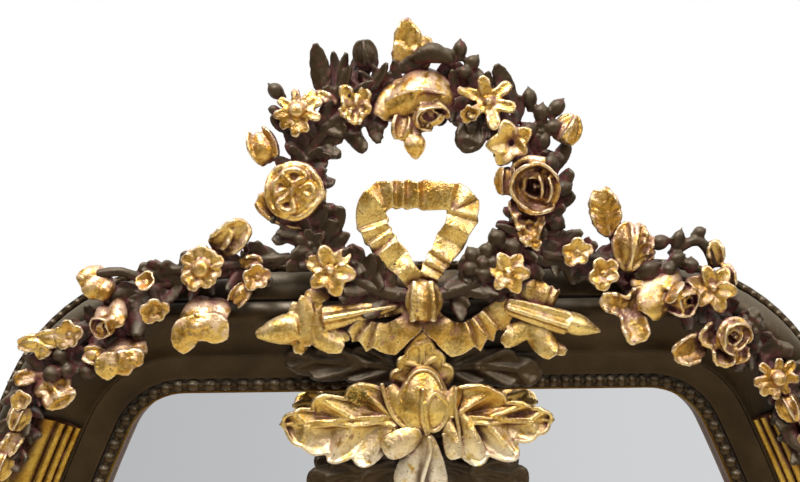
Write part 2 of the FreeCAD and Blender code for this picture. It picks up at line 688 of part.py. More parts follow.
def wreath_flowers():
    """Gilded flowers and buds of the wreath."""
    lines = {-1: wreath_line(-1), 1: wreath_line(1)}

    def side_of(turn):
        return 1 if math.cos(math.radians(turn)) > 0 else -1

    def add(node, solid, place, turn):
        seat(node, stalked(solid, place, lines[side_of(turn)]))

    for node, turn, out, front, radius, depth in (("wreath_rose_top", 91, -9, 34, 29, 42),
                                                   ("wreath_rose_left", 180, 6, 30, 30, 34),
                                                   ("wreath_rose_right", 5, 0, 30, 23, 34)):
        place = wreath(turn, out, front)
        add(node, rose(place, facing(0, -0.2), radius, depth), place, turn)
    for node, turn, out, front, radius, petals in (("wreath_daisy", 142, 25, 28, 23, 8),
                                                    ("wreath_small_flowers", 224, 5, 28, 19, 6),
                                                    ("wreath_small_flowers", -47, 7, 26, 14, 5),
                                                    ("wreath_small_flowers", 53, 7, 28, 19, 5)):
        place = wreath(turn, out, front)
        add(node, daisy(place, facing(), radius, DAISY_DEPTH, petals), place, turn)
    for turn, out, front, radius, length in ((62, -7, 28, 10, 22), (30, -4, 30, 17, 26), (-19, -5, 28, 17, 30)):
        place = wreath(turn, out, front)
        base = place - facing() * (length / 2)
        add("wreath_bell_flowers", bell(base, place + facing(0, -0.2) * (length / 2), radius), place, turn)
    buds = ((122, -3, 26, 16, (-8, 18)), (161, 39, 18, 12, (-9, 14)), (26, 37, 18, 11, (6, 14)),
            (9, -26, 20, 8, (0, 13)))
    for turn, out, front, radius, reach in buds:
        place = wreath(turn, out, front)
        half = FreeCAD.Vector(reach[0], 0, reach[1])
        add("wreath_buds", bud(place - half, place + half, radius), place, turn)
    leaf_foot = wreath(92, 16, TOP_LEAF_FRONT)
    top_leaf = leaf(leaf_foot, wreath(95, 58, TOP_LEAF_FRONT), TOP_LEAF_WIDTH, facing(0, -0.1))
    add("wreath_top_leaf", top_leaf, leaf_foot + facing() * (LEAF_THICKNESS / 2), 91)
    drops = ((104, -37, 26, 10, 11), (95, -45, 30, 9, 18))
    for turn, out, front, radius, half in drops:
        place = wreath(turn, out, front)
        drop = FreeCAD.Vector(0, 0, half)
        add("wreath_drops", bud(place + drop, place - drop, radius), place + drop * 0.4, turn)


def wreath_greens():
    """Dark leaves and berries of the wreath."""
    leaves = ((125, 18, 62, 22), (119, 14, 56, 18), (115, 10, 46, 20), (108, 14, 52, 18), (82, 12, 34, 24),
              (70, 6, 26, 16), (54, 6, 40, 22), (54, -6, -46, 30), (16, 4, 26, 18), (2, 6, 40, 18),
              (132, -6, -50, 24), (151, -4, -26, 16), (141, 4, -24, 14), (123, -8, -46, 16), (172, -6, -40, 20),
              (196, 4, 30, 24), (203, -4, -30, 26), (210, 4, 30, 24), (218, -4, -26, 20), (-30, 4, 30, 20),
              (-42, -4, -28, 20))
    for turn, start, end, width in leaves:
        side = 1 if math.cos(math.radians(turn)) > 0 else -1
        foot = wreath(turn, start, WREATH_FRONT - 2)
        tip = wreath(turn + side * 5, end, WREATH_FRONT + 4)
        node = "wreath_leaves_right" if side > 0 else "wreath_leaves_left"
        place = (foot * 0.7 + tip * 0.3) + facing() * (LEAF_THICKNESS / 2)
        seat(node, stalked(leaf(foot, tip, width, facing()), place, wreath_line(side)))
    berries = ((78, 26, 9), (76, 40, 8), (70, 30, 8), (43, 26, 10), (36, 35, 9), (33, 20, 9), (27, 28, 9),
               (-14, 16, 9), (-36, -21, 9), (-36, -4, 9), (-53, -15, 8), (-54, 4, 8), (139, 52, 8), (146, 46, 5))
    for turn, out, radius in berries:
        side = 1 if math.cos(math.radians(turn)) > 0 else -1
        place = wreath(turn, out, WREATH_FRONT + 4)
        seat("wreath_berries", stalked(Part.makeSphere(radius, place), place, wreath_line(side)))


def garland_pieces(side, name, stops, roses, lilies, daisies, buds, gold_leaves, dark_leaves, berries):
    """Everything that hangs on one garland stem."""
    line = garland_line(side, stops)

    def add(node, solid, place):
        seat(node + "_" + name, stalked(solid, place, line))

    for out, rise, radius in roses:
        place = garland(side, out, GARLAND_ROSE_FRONT, rise)
        add("garland_roses", rose(place, facing(0, -0.25), radius, 1.2 * radius), place)
    for out, rise, radius in lilies:
        base = garland(side, out, GARLAND_LEAF_FRONT, rise + 0.8 * radius)
        mouth = garland(side, out, LILY_MOUTH_FRONT, rise - 0.9 * radius)
        add("garland_lilies", bell(base, mouth, radius), base * 0.6 + mouth * 0.4)
    for out, rise, radius, petals in daisies:
        place = garland(side, out, GARLAND_DAISY_FRONT, rise)
        add("garland_daisies", daisy(place, facing(), radius, DAISY_DEPTH, petals), place)
    for out, rise, radius, across, up in buds:
        place = garland(side, out, GARLAND_BUD_FRONT, rise)
        half = FreeCAD.Vector(side * across, 0, up)
        add("garland_buds", bud(place - half, place + half, radius), place)
    for node, rows in (("garland_gold_leaves", gold_leaves), ("garland_dark_leaves", dark_leaves)):
        for out, rise, width, across, up in rows:
            place = garland(side, out, GARLAND_LEAF_FRONT, rise)
            half = FreeCAD.Vector(side * across, 0, up)
            solid = leaf(place - half, place + half, width, facing())
            add(node, solid, place + facing() * (LEAF_THICKNESS / 2))
    for out, rise, radius in berries:
        place = garland(side, out, GARLAND_LEAF_FRONT, rise)
        add("garland_dark_leaves", Part.makeSphere(radius, place), place)


def build_garlands():
    """Left and right garlands, which differ."""
    garland_pieces(
        -1, "left", LEFT_STOPS,
        roses=((52, 74, 15),),
        lilies=((-26, 67, 23), (51, 40, 22)),
        daisies=((-30, 119, 20, 8), (-76, 108, 10, 5)),
        buds=((-61, 93, 10, 4, 10), (18, 106, 8, 8, 3), (13, 84, 11, 8, 8), (66, 105, 12, 6, 15),
              (85, 60, 10, 6, 11), (117, 56, 11, 16, 4), (134, -9, 9, 4, 11), (150, -56, 9, 5, 14)),
        gold_leaves=((-51, 141, 26, 15, 14), (130, 22, 14, 14, 2), (104, 11, 20, -8, 14), (140, -36, 16, -8, 12)),
        dark_leaves=((29, 70, 14, -4, 12), (94, 27, 14, 15, 5), (-75, 128, 14, 12, 8), (40, 108, 14, 14, -8),
                     (152, -30, 18, 6, 15), (78, 84, 14, 12, 8)),
        berries=((128, 4, 7), (30, 56, 6)))
    garland_pieces(
        1, "right", RIGHT_STOPS,
        roses=((-2, 88, 25), (52, 52, 21)),
        lilies=((-34, 70, 22), (22, 41, 17)),
        daisies=((-72, 125, 11, 5), (-52, 108, 12, 5), (44, 94, 17, 5), (97, 15, 19, 8)),
        buds=((-27, 132, 17, 9, 19), (108, -11, 9, 4, 13), (128, -46, 9, 5, 14), (54, 33, 10, 11, 4)),
        gold_leaves=((-46, 161, 26, -5, 20), (46, 124, 14, -2, 14), (60, 101, 10, 3, 14), (124, -22, 16, 8, 12)),
        dark_leaves=((-7, 112, 18, 17, 6), (24, 70, 14, 3, 16), (70, 31, 16, 4, 12), (96, 40, 18, 20, 6),
                     (-94, 142, 14, 14, 8), (112, -34, 16, -6, 14)),
        berries=((-2, 132, 9), (14, 138, 9), (29, 136, 9), (22, 122, 9), (38, 128, 9), (79, 62, 11)))


def write_nodes():
    """Writes one file for each node."""
    os.makedirs("parts", exist_ok=True)
    for node, solids in nodes.items():
        shape = solids[0] if len(solids) == 1 else Part.makeCompound(solids)
        shape.exportStep("parts/" + node + ".step")


build_frame()
build_trophy()
wreath_flowers()
build_garlands()
wreath_greens()
write_nodes()
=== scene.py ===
import json
import math
import random

import bpy
import numpy as np
from mathutils import Matrix, Vector


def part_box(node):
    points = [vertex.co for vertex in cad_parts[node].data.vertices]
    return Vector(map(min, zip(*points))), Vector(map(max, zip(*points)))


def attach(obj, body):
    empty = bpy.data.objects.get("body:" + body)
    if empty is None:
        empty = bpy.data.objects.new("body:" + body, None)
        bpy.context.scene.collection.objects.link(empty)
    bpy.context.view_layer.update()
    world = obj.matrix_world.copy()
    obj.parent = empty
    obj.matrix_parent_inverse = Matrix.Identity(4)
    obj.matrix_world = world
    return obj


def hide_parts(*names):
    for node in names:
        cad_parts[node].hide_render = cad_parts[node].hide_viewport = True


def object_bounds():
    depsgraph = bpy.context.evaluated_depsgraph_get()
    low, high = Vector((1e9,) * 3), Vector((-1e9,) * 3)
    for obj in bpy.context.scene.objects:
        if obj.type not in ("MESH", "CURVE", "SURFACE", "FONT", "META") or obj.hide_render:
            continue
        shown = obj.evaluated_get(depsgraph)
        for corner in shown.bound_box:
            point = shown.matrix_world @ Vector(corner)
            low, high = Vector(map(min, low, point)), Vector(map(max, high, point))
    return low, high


bl_info = {
    "name": "Crested wall mirror",
    "version": (1, 0, 0),
    "blender": (4, 5, 0),
    "location": "View3D > Sidebar > Mirror",
    "description": "Builds the carved, gilded and mirrored pieces of a crested wall mirror around its frame",
    "category": "Add Mesh",
}

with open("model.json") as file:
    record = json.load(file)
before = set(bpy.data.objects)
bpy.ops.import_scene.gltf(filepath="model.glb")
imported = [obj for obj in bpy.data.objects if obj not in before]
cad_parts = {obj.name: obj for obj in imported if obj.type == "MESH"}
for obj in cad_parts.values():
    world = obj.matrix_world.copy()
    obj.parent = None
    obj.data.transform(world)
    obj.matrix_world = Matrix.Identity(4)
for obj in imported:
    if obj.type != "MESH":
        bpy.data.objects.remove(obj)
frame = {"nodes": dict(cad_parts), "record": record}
CAD_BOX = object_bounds()

# The crest is carved in millimetres: X to the right, Y up from the sight edge,
# Z forward from the frame's roll.
MM = 0.001
RAIL_LOW, RAIL_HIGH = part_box("top_rail")
SIGHT_TOP = RAIL_LOW.z / MM
SEAT = -RAIL_LOW.y / MM
CREST = Matrix(((1, 0, 0, 0), (0, 0, -1, -SEAT), (0, 1, 0, SIGHT_TOP), (0, 0, 0, 1)))

# Sight edge of the frame: straight top and bottom, round corners, bowed sides
TOP_STRAIGHT = 428.0
CORNER_RADIUS = 57.0
CORNER_TURN = 65.0
SIDE_RADIUS = 500.0 / math.sin(math.radians(90 - CORNER_TURN))
RAIL_WIDTH = 119.0
SIGHT_BOTTOM = RAIL_WIDTH / 2

# Recesses in the back for the stays and the hangers; a cutter stands clear of the wood by CLEAR
STAY_DEPTH = 4.0
POCKET_DEPTH = 9.0
POCKET_HALF = 18.0
POCKET_ABOVE = 9.0
POCKET_BELOW = 69.0
CLEAR = 10.0

# Oval line of the wreath
WREATH_MIDDLE = (4.0, 180.0)
WREATH_HALF = (104.0, 91.0)
WREATH_FRONT = 14.0
BRANCH_SWEEP = 174
BRANCH_STEPS = 18

# Finishes by name, filled by the first step
finishes = {}


# Sizes and colours that a user may change

class MirrorSizes(bpy.types.PropertyGroup):
    """Sizes of the repeated and carved detail"""
    inner_pitch: bpy.props.FloatProperty(name="Inner bead pitch",
                                         description="Step of the beads on the sight edge", default=0.0125,
                                         min=0.008, unit="LENGTH")
    outer_pitch: bpy.props.FloatProperty(name="Outer bead pitch",
                                         description="Step of the beads on the outer edge", default=0.0100,
                                         min=0.006, unit="LENGTH")
    carving_step: bpy.props.FloatProperty(name="Carving step", description="Fineness of the carved surfaces",
                                          default=0.0014, min=0.0008, unit="LENGTH")
    grit: bpy.props.FloatProperty(name="Grit", description="Unevenness of the carved surfaces",
                                  default=0.0005, min=0.0, unit="LENGTH")


class MirrorColours(bpy.types.PropertyGroup):
    """Colours of the finishes"""
    gold: bpy.props.FloatVectorProperty(name="Gold", description="Gold leaf", subtype="COLOR", size=3,
                                        default=(1.0, 0.64, 0.15), min=0, max=1)
    bole: bpy.props.FloatVectorProperty(name="Bole", description="Red clay under the gold", subtype="COLOR",
                                        size=3, default=(0.36, 0.10, 0.085), min=0, max=1)
    bronze: bpy.props.FloatVectorProperty(name="Bronze paint", description="Dark paint of the frame",
                                          subtype="COLOR", size=3, default=(0.047, 0.027, 0.0095), min=0,
                                          max=1)
    # Pale paint colour: rubbed paint and dust, also laid on upward faces as painted light from above
    dust_and_top_light: bpy.props.FloatVectorProperty(name="Rubbed paint", description="Paint where it is rubbed pale",
                                        subtype="COLOR", size=3, default=(0.17, 0.135, 0.09), min=0, max=1)
    silver: bpy.props.FloatVectorProperty(name="Silvering", description="Tint of the mirror glass",
                                          subtype="COLOR", size=3, default=(0.84, 0.85, 0.86), min=0, max=1)
    pine: bpy.props.FloatVectorProperty(name="Pine", description="Board behind the glass", subtype="COLOR",
                                        size=3, default=(0.46, 0.29, 0.15), min=0, max=1)


# Shader trees written as expressions

class Value:
    """Output of a node; sums and products of values add Math nodes"""

    def __init__(self, tree, socket):
        self.tree = tree
        self.socket = socket

    def maths(self, operation, first, second):
        node = self.tree.nodes.new("ShaderNodeMath")
        node.operation = operation
        for slot, value in zip(node.inputs, (first, second)):
            feed(self.tree, slot, value)
        return Value(self.tree, node.outputs[0])

    def __add__(self, other):
        return self.maths("ADD", self, other)

    def __radd__(self, other):
        return self.maths("ADD", other, self)

    def __sub__(self, other):
        return self.maths("SUBTRACT", self, other)

    def __rsub__(self, other):
        return self.maths("SUBTRACT", other, self)

    def __mul__(self, other):
        return self.maths("MULTIPLY", self, other)

    def __rmul__(self, other):
        return self.maths("MULTIPLY", other, self)


def feed(tree, slot, value):
    """Links a value to a socket, or sets the socket to a number, vector or colour."""
    if isinstance(value, Value):
        tree.links.new(value.socket, slot)
    elif slot.type == "RGBA" and len(value) == 3:
        slot.default_value = (*value, 1.0)
    else:
        slot.default_value = value


class Shading:
    """Node tree of one finish or of the surroundings"""

    def __init__(self, owner):
        owner.use_nodes = True
        self.tree = owner.node_tree

    def node(self, kind, settings=None, inputs=None, output=0):
        node = self.tree.nodes.new(kind)
        for name, value in (settings or {}).items():
            setattr(node, name, value)
        for name, value in (inputs or {}).items():
            feed(self.tree, node.inputs[name], value)
        return Value(self.tree, node.outputs[output])

    def place(self):
        return self.node("ShaderNodeTexCoord", output="Object")

    def noise(self, place, size, detail=3.0, stretch=None):
        if stretch:
            place = self.node("ShaderNodeMapping", None, {"Vector": place, "Scale": stretch})
        return self.node("ShaderNodeTexNoise", None, {"Vector": place, "Scale": 1 / size, "Detail": detail,
                                                      "Roughness": 0.6})

    def ramp(self, value, low, high):
        """Share from 0 to 1 as the value goes from low to high."""
        return self.node("ShaderNodeMapRange", {"interpolation_type": "SMOOTHSTEP"},
                         {"Value": value, "From Min": low, "From Max": high})

    def blend(self, share, first, second):
        """Colour between two colours."""
        return self.node("ShaderNodeMix", {"data_type": "RGBA"}, {0: share, 6: first, 7: second}, output=2)

    def bump(self, height, depth, strength=1.0, under=None):
        inputs = {"Height": height, "Distance": depth, "Strength": strength}
        if under:
            inputs["Normal"] = under
        return self.node("ShaderNodeBump", None, inputs)

    def surface(self, constants, **links):
        shader = self.tree.nodes["Principled BSDF"]
        for name, value in constants.items():
            feed(self.tree, shader.inputs[name], value)
        for name, value in links.items():
            feed(self.tree, shader.inputs[name.replace("_", " ")], value)


def new_finish(slot):
    """Empty finish for one of the record's material slots."""
    material = bpy.data.materials.new(slot + "_finish")
    finishes[slot] = material
    return Shading(material)


# Share of the gold that is left where it is rubbed, and fixed tints of the finishes
RUBBED_SHARE = (0.62, 0.47, 0.28)
# Pale rim tint: worn gold on convex edges, and partly a painted highlight along them
PALE_RIM_WEAR_AND_HIGHLIGHT = (1.0, 0.88, 0.62)
# Rose tint on upward faces: dust, and partly painted light from above
ROSE_DUST_AND_TOP_LIGHT = (0.86, 0.61, 0.46)
BARE_GESSO = (1.0, 0.88, 0.66)
OLD_STAIN = (0.07, 0.055, 0.012)
# Painted shade: the dark brown laid into hollows and creases
PAINTED_HOLLOW_SHADE = (0.125, 0.045, 0.013)
GOLD_SPECK = (0.05, 0.022, 0.010)
PAINT_SPECK = (0.010, 0.007, 0.004)
LOST_SILVER = (0.25, 0.22, 0.18)
AGED_PINE = (0.20, 0.15, 0.10)
DARK_FIBRE = (0.09, 0.055, 0.03)
OCCLUSION_SAMPLES = 8


def gilding(finish, colours, tint, rosy, shade_and_specks, rims=0.6, rubbed_below=None, stain=None):
    """Gold leaf over red bole: pale on its rims, partly as wear and partly as a painted highlight; dusty rose
    on top, partly dust and partly painted light from above; painted shade in its hollows, and red bole
    darkened as painted shade in the deepest.

    Below one height it can be rubbed to the gesso, and it can have one dark stain.
    """
    look = new_finish(finish)
    place = look.place()
    crown = look.node("ShaderNodeNewGeometry", output="Pointiness")
    normal = look.node("ShaderNodeNewGeometry", output="Normal")
    upward = look.node("ShaderNodeSeparateXYZ", None, {0: normal}, output="Z")
    open_sky = look.node("ShaderNodeAmbientOcclusion", {"samples": OCCLUSION_SAMPLES}, {"Distance": 0.032},
                         output="AO")
    # Hollows by occlusion and creases by pointiness: the masks of the painted shade
    crease = look.ramp(crown, 0.495, 0.45)
    hollow = look.node("ShaderNodeMath", {"operation": "MAXIMUM"},
                       {0: look.ramp(open_sky, 0.97, 0.52), 1: crease})
    deep = look.ramp(open_sky - crease * 0.25, 0.62, 0.25)
    cloud = look.noise(place, 0.045, 4.0)
    patch = look.noise(place, 0.009, 5.0)
    fine = look.noise(place, 0.0024, 4.0)
    gold = tuple(c * t for c, t in zip(colours.gold, tint))
    rubbed = tuple(c * f for c, f in zip(gold, RUBBED_SHARE))
    tone = look.blend(look.ramp(cloud * 0.5 + fine * 0.3 + patch * 0.2, 0.42, 0.58), rubbed, gold)
    # Convex rims are paled, partly as wear and partly as a painted highlight
    edged = look.blend(look.ramp(crown, 0.51, 0.57) * rims, tone, PALE_RIM_WEAR_AND_HIGHLIGHT)
    # Upward faces turn dusty rose: partly dust, partly painted light from above
    dusty_top_and_light = look.ramp(upward + cloud, 0.3, 1.0) * look.ramp(patch, 0.38, 0.56) * rosy
    pale = look.blend(dusty_top_and_light, edged, ROSE_DUST_AND_TOP_LIGHT)
    bare = 0.0
    if rubbed_below:
        height = look.node("ShaderNodeSeparateXYZ", None, {0: place}, output="Z")
        bare = look.ramp(height + cloud * 0.02, rubbed_below + 0.025, rubbed_below - 0.025)
        bare = bare * look.ramp(patch, 0.30, 0.5)
        pale = look.blend(bare * 0.75, pale, BARE_GESSO)
    if stain:
        gap = look.node("ShaderNodeVectorMath", {"operation": "DISTANCE"}, {0: place, 1: stain},
                        output="Value")
        blotch = look.ramp(gap + patch * 0.02, 0.028, 0.018) * look.ramp(fine, 0.38, 0.52)
        pale = look.blend(blotch * 0.9, pale, OLD_STAIN)
    # Painted shade: hollows darkened to brown, the deepest to darkened red bole; the same setting also sets
    # the dark specks
    hollow_shaded = look.blend(hollow * shade_and_specks, pale, PAINTED_HOLLOW_SHADE)
    deep_shaded_bole = look.blend(deep * shade_and_specks, hollow_shaded, tuple(c * 0.22 for c in colours.bole))
    worn = look.ramp(patch + hollow * 0.1 + rosy * 0.06, 0.645, 0.73)
    red = look.blend(worn * 0.7, deep_shaded_bole, tuple(c * 0.6 for c in colours.bole))
    speck = look.ramp(fine, 0.62, 0.69) * look.ramp(patch, 0.40, 0.58)
    colour = look.blend(speck * shade_and_specks, red, GOLD_SPECK)
    metal = 1 - worn * 0.6 - dusty_top_and_light * 0.6 - hollow * 0.3 - bare * 0.2
    rough = 0.18 + cloud * 0.12 + fine * 0.12 + hollow * 0.2 + worn * 0.2
    coarse = look.bump(patch, 0.0016, 0.6)
    look.surface({"Specular IOR Level": 0.5}, Base_Color=colour, Metallic=metal, Roughness=rough,
                 Normal=look.bump(fine, 0.0009, 0.5, coarse))


def bronze_paint(slot, colours, pale_top_and_light_share, red_share, metal, dullness, lift, hollow_shade=0.8):
    """Dark bronze paint, paler on top partly as dust and partly as painted light from above, with painted
    shade in its hollows and red bole in the hollows of carved pieces.
    """
    look = new_finish(slot)
    place = look.place()
    normal = look.node("ShaderNodeNewGeometry", output="Normal")
    upward = look.node("ShaderNodeSeparateXYZ", None, {0: normal}, output="Z")
    open_sky = look.node("ShaderNodeAmbientOcclusion", {"samples": OCCLUSION_SAMPLES}, {"Distance": 0.024},
                         output="AO")
    hollow = look.ramp(open_sky, 0.85, 0.35)
    cloud = look.noise(place, 0.035, 5.0)
    patch = look.noise(place, 0.009, 4.0)
    fine = look.noise(place, 0.0018, 3.0)
    dark = tuple(c * lift for c in colours.bronze)
    tone = look.blend(look.ramp(cloud, 0.3, 0.75), tuple(c * 0.75 for c in dark),
                      tuple(c * 1.3 for c in dark))
    if red_share:
        crown = look.node("ShaderNodeNewGeometry", output="Pointiness")
        tone = look.blend(look.ramp(crown + patch * 0.06, 0.54, 0.62) * 0.6, tone, tuple(colours.dust_and_top_light))
    # Upward faces turn pale: partly dust, partly painted light from above
    pale_top_and_light = look.ramp(upward + cloud * 0.6, 0.32, 0.9) * pale_top_and_light_share
    pale = look.blend(pale_top_and_light, tone, tuple(colours.dust_and_top_light))
    # Painted shade: hollows darkened towards a fifth of the paint colour
    colour = look.blend(hollow * hollow_shade, pale, tuple(c * 0.22 for c in dark))
    if red_share:
        red = look.ramp(patch + hollow * 0.2, 0.56, 0.70) * red_share
        colour = look.blend(red, colour, tuple(c * 0.35 for c in colours.bole))
    colour = look.blend(look.ramp(fine, 0.66, 0.76) * 0.6, colour, PAINT_SPECK)
    rough = dullness + cloud * 0.16 + patch * 0.12
    coarse = look.bump(patch, 0.0009, 0.4)
    look.surface({"Specular IOR Level": 0.4}, Base_Color=colour, Metallic=metal - hollow * 0.5 - pale_top_and_light * 0.4,
                 Roughness=rough, Normal=look.bump(fine, 0.0003, 0.3, coarse))


def silvered_glass(colours):
    """Mirror glass with a faint haze."""
    look = new_finish("silvered_glass")
    place = look.place()
    haze = look.noise(place, 0.25, 3.0)
    spots = look.ramp(look.noise(place, 0.006, 2.0), 0.74, 0.8) * look.ramp(haze, 0.5, 0.62)
    tint = tuple(colours.silver)
    colour = look.blend(spots * 0.5, tint, LOST_SILVER)
    look.surface({"Metallic": 1.0}, Base_Color=colour, Roughness=0.02 + haze * 0.02)


def pine_board(colours):
    """Raw aged pine with upright grain."""
    look = new_finish("pine_board")
    place = look.place()
    rings = look.noise(place, 0.05, 4.0, stretch=(1.0, 1.0, 0.06))
    fibre = look.noise(place, 0.004, 3.0, stretch=(1.0, 1.0, 0.05))
    grain = look.node("ShaderNodeMath", {"operation": "FRACT"}, {0: rings * 9 + fibre * 0.25})
    line = look.ramp(grain, 0.55, 0.95)
    pine = tuple(colours.pine)
    wood = look.blend(line * 0.6, pine, tuple(c * 0.5 for c in pine))
    grey = look.blend(look.ramp(look.noise(place, 0.12, 4.0), 0.45, 0.7) * 0.5, wood, AGED_PINE)
    colour = look.blend(look.ramp(fibre, 0.6, 0.75) * 0.4, grey, DARK_FIBRE)
    look.surface({"Specular IOR Level": 0.3}, Base_Color=colour, Roughness=0.66 + fibre * 0.2,
                 Normal=look.bump(fibre + line * 0.4, 0.0006, 0.5))


def old_metal(slot, colour, rust, rough, metal):
    """Aged metal with tarnish in patches."""
    look = new_finish(slot)
    place = look.place()
    cloud = look.noise(place, 0.012, 5.0)
    fine = look.noise(place, 0.0012, 3.0)
    crown = look.node("ShaderNodeNewGeometry", output="Pointiness")
    tarnish = look.ramp(cloud, 0.42, 0.66)
    tone = look.blend(tarnish, colour, rust)
    edged = look.blend(look.ramp(crown, 0.53, 0.65) * 0.5, tone, tuple(min(1.0, c * 1.5) for c in colour))
    look.surface({}, Base_Color=edged, Metallic=metal - tarnish * 0.3, Roughness=rough + tarnish * 0.25,
                 Normal=look.bump(cloud + fine * 0.4, 0.0005, 0.4))


# Handling of pieces, as at the bench

def deselect():
    bpy.ops.object.select_all(action="DESELECT")


def only(piece):
    """Selects one piece and makes it the active one."""
    deselect()
    piece.select_set(True)
    bpy.context.view_layer.objects.active = piece


def corners_of(piece):
    """Vertex places of a piece."""
    places = np.empty(len(piece.data.vertices) * 3, np.float32)
    piece.data.vertices.foreach_get("co", places)
    return places.reshape(-1, 3).astype(float)


def shape(piece, x, y, z):
    """Moves the vertices of a piece to new places."""
    places = np.stack([x, y, z], axis=1).astype(np.float32)
    piece.data.vertices.foreach_set("co", places.ravel())
    piece.data.update()
    return piece


def work(piece, kind, **settings):
    """Puts a modifier on a piece and applies it."""
    only(piece)
    modifier = piece.modifiers.new(kind.title(), kind)
    for name, value in settings.items():
        setattr(modifier, name, value)
    bpy.ops.object.modifier_apply(modifier=modifier.name)
    return piece


def again(piece, matrix):
    """Copy of a piece with its own mesh, moved by a matrix."""
    double = bpy.data.objects.new(piece.name, piece.data.copy())
    double.data.transform(matrix)
    bpy.context.scene.collection.objects.link(double)
    return double


def moved(parts, matrix):
    """The same parts, moved by a matrix."""
    for part in parts:
        part.data.transform(matrix)
    return parts


def joined(parts):
    """All parts as one piece."""
    deselect()
    for part in parts:
        part.select_set(True)
    bpy.context.view_layer.objects.active = parts[0]
    if len(parts) > 1:
        bpy.ops.object.join()
    return parts[0]


def settle(piece, name, finish, *nodes, smooth=None):
    """Gives a finished piece its name, its finish and its place on the mirror body, and hides the nodes it
    takes the place of.
    """
    piece.name = name
    piece.data.name = name
    only(piece)
    if smooth is None:
        bpy.ops.object.shade_smooth()
    else:
        bpy.ops.object.shade_smooth_by_angle(angle=math.radians(smooth))
    piece.data.materials.clear()
    piece.data.materials.append(finishes[finish])
    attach(piece, "mirror")
    if nodes:
        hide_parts(*nodes)


# Unevenness left by the hand and by the grit: name, size in millimetres and share of the grit setting
HAND_MARKS = (("hand", 9.0, 2.2), ("grit", 2.6, 0.8))

# How finely the flowers, the ribbon, the centre leaf, and the torch and quiver are carved
FLOWER_CUT = {"step": 0.9, "soften": 3}
RIBBON_CUT = {"step": 0.7, "soften": 1, "rough": 0.7}
CENTRE_CUT = {"step": 0.7, "soften": 1, "rough": 0.6}
EMBLEM_CUT = {"step": 0.8, "soften": 2, "rough": 0.6}


def carve(node, parts, finish, step=1.0, soften=5, rough=1.0):
    """Joins parts of the crest into one closed, hand-worked piece in place of a node."""
    sizes = bpy.context.scene.mirror_sizes
    piece = joined(parts)
    work(piece, "REMESH", mode="VOXEL", voxel_size=step * sizes.carving_step / MM)
    work(piece, "SMOOTH", factor=0.5, iterations=soften)
    for name, scale, share in HAND_MARKS:
        texture = bpy.data.textures.get(name) or bpy.data.textures.new(name, "CLOUDS")
        texture.noise_scale = scale
        work(piece, "DISPLACE", texture=texture, texture_coords="LOCAL",
             strength=rough * share * sizes.grit / MM)
    piece.data.transform(Matrix.Scale(MM, 4) @ CREST)
    settle(piece, node + "_carved", finish, node)


# Carved forms, in millimetres

# Turns a form from +Y to +Z, so that it faces the viewer
FACE_FORWARD = Matrix.Rotation(math.radians(90), 4, "X")


def blade(length, width, base=0.5, tip=0.5, cup=0.0, bend=0.0, rib=0.0, rim=0.0, ruffle=0.0, waves=3.0,
          veins=0, vein=0.0, thick=3.5, rows=22, columns=12):
    """Leaf or petal along +Y with its face to +Z."""
    deselect()
    bpy.ops.mesh.primitive_grid_add(x_subdivisions=columns, y_subdivisions=rows, size=2)
    piece = bpy.context.object
    places = corners_of(piece)
    across = places[:, 0]
    share = 0.012 + 0.976 * (places[:, 1] + 1) / 2
    peak = base / (base + tip)
    half = width / 2 * (share / peak) ** base * ((1 - share) / (1 - peak)) ** tip
    edge = np.abs(across)
    if cup:
        x = half * np.sin(cup * across) / cup
        z = half * (1 - np.cos(cup * across)) / cup
    else:
        x = half * across
        z = np.zeros_like(x)
    z = z + rib * np.exp(-(across / 0.2) ** 2) * (1 - share) + rim * edge ** 5 * np.sin(np.pi * share)
    z = z + ruffle * edge ** 2 * np.sin(2 * np.pi * waves * share + np.sign(across))
    if veins:
        z = z + vein * np.cos(2 * np.pi * veins * (share - 0.3 * edge)) * edge * (1 - edge ** 4)
    angle = bend * (share - 0.5)
    if bend:
        radius = length / (2 * math.sin(bend / 2))
        along = radius * (np.sin(angle) + math.sin(bend / 2))
        up = radius * (math.cos(bend / 2) - np.cos(angle))
    else:
        along = length * share
        up = np.zeros_like(along)
    shape(piece, x, along - z * np.sin(angle), up + z * np.cos(angle))
    return work(piece, "SOLIDIFY", thickness=thick, offset=0.0)


def turned(length, radii, flutes=0, depth=0.0, twist=0.0, flat=1.0, bow=0.0, segments=24, rings=18):
    """Closed turned form along +Y; the radii are spread evenly over its length."""
    deselect()
    bpy.ops.mesh.primitive_uv_sphere_add(segments=segments, ring_count=rings, radius=1)
    piece = bpy.context.object
    places = corners_of(piece)
    share = np.arccos(np.clip(-places[:, 2], -1, 1)) / np.pi
    angle = np.arctan2(places[:, 1], places[:, 0])
    radius = np.interp(share, np.linspace(0, 1, len(radii)), radii)
    radius = radius * (np.hypot(places[:, 0], places[:, 1]) > 1e-4)
    if flutes:
        radius = radius * (1 + depth * np.cos(flutes * angle + twist * share))
    x = radius * np.cos(angle) + bow * np.sin(np.pi * share)
    return shape(piece, x, share * length, -radius * np.sin(angle) * flat)


def round_radii(radius, sharp=0.6, lean=0.0):
    """Radii of an egg-shaped form; lean moves its belly towards the tip."""
    shares = np.linspace(0, 1, 13) ** (1 + lean)
    return list(radius * np.sin(np.pi * shares) ** sharp)


def leaf_at(base, tip, roll=0.0):
    """Matrix that lays a form along the line from base to tip, its face forward."""
    start = Vector(base)
    along = (Vector(tip) - start).normalized()
    side = along.cross(Vector((0, 0, 1))).normalized()
    front = side.cross(along)
    turn = Matrix((side, along, front)).transposed().to_4x4()
    return Matrix.Translation(start) @ turn @ Matrix.Rotation(math.radians(roll), 4, "Y")


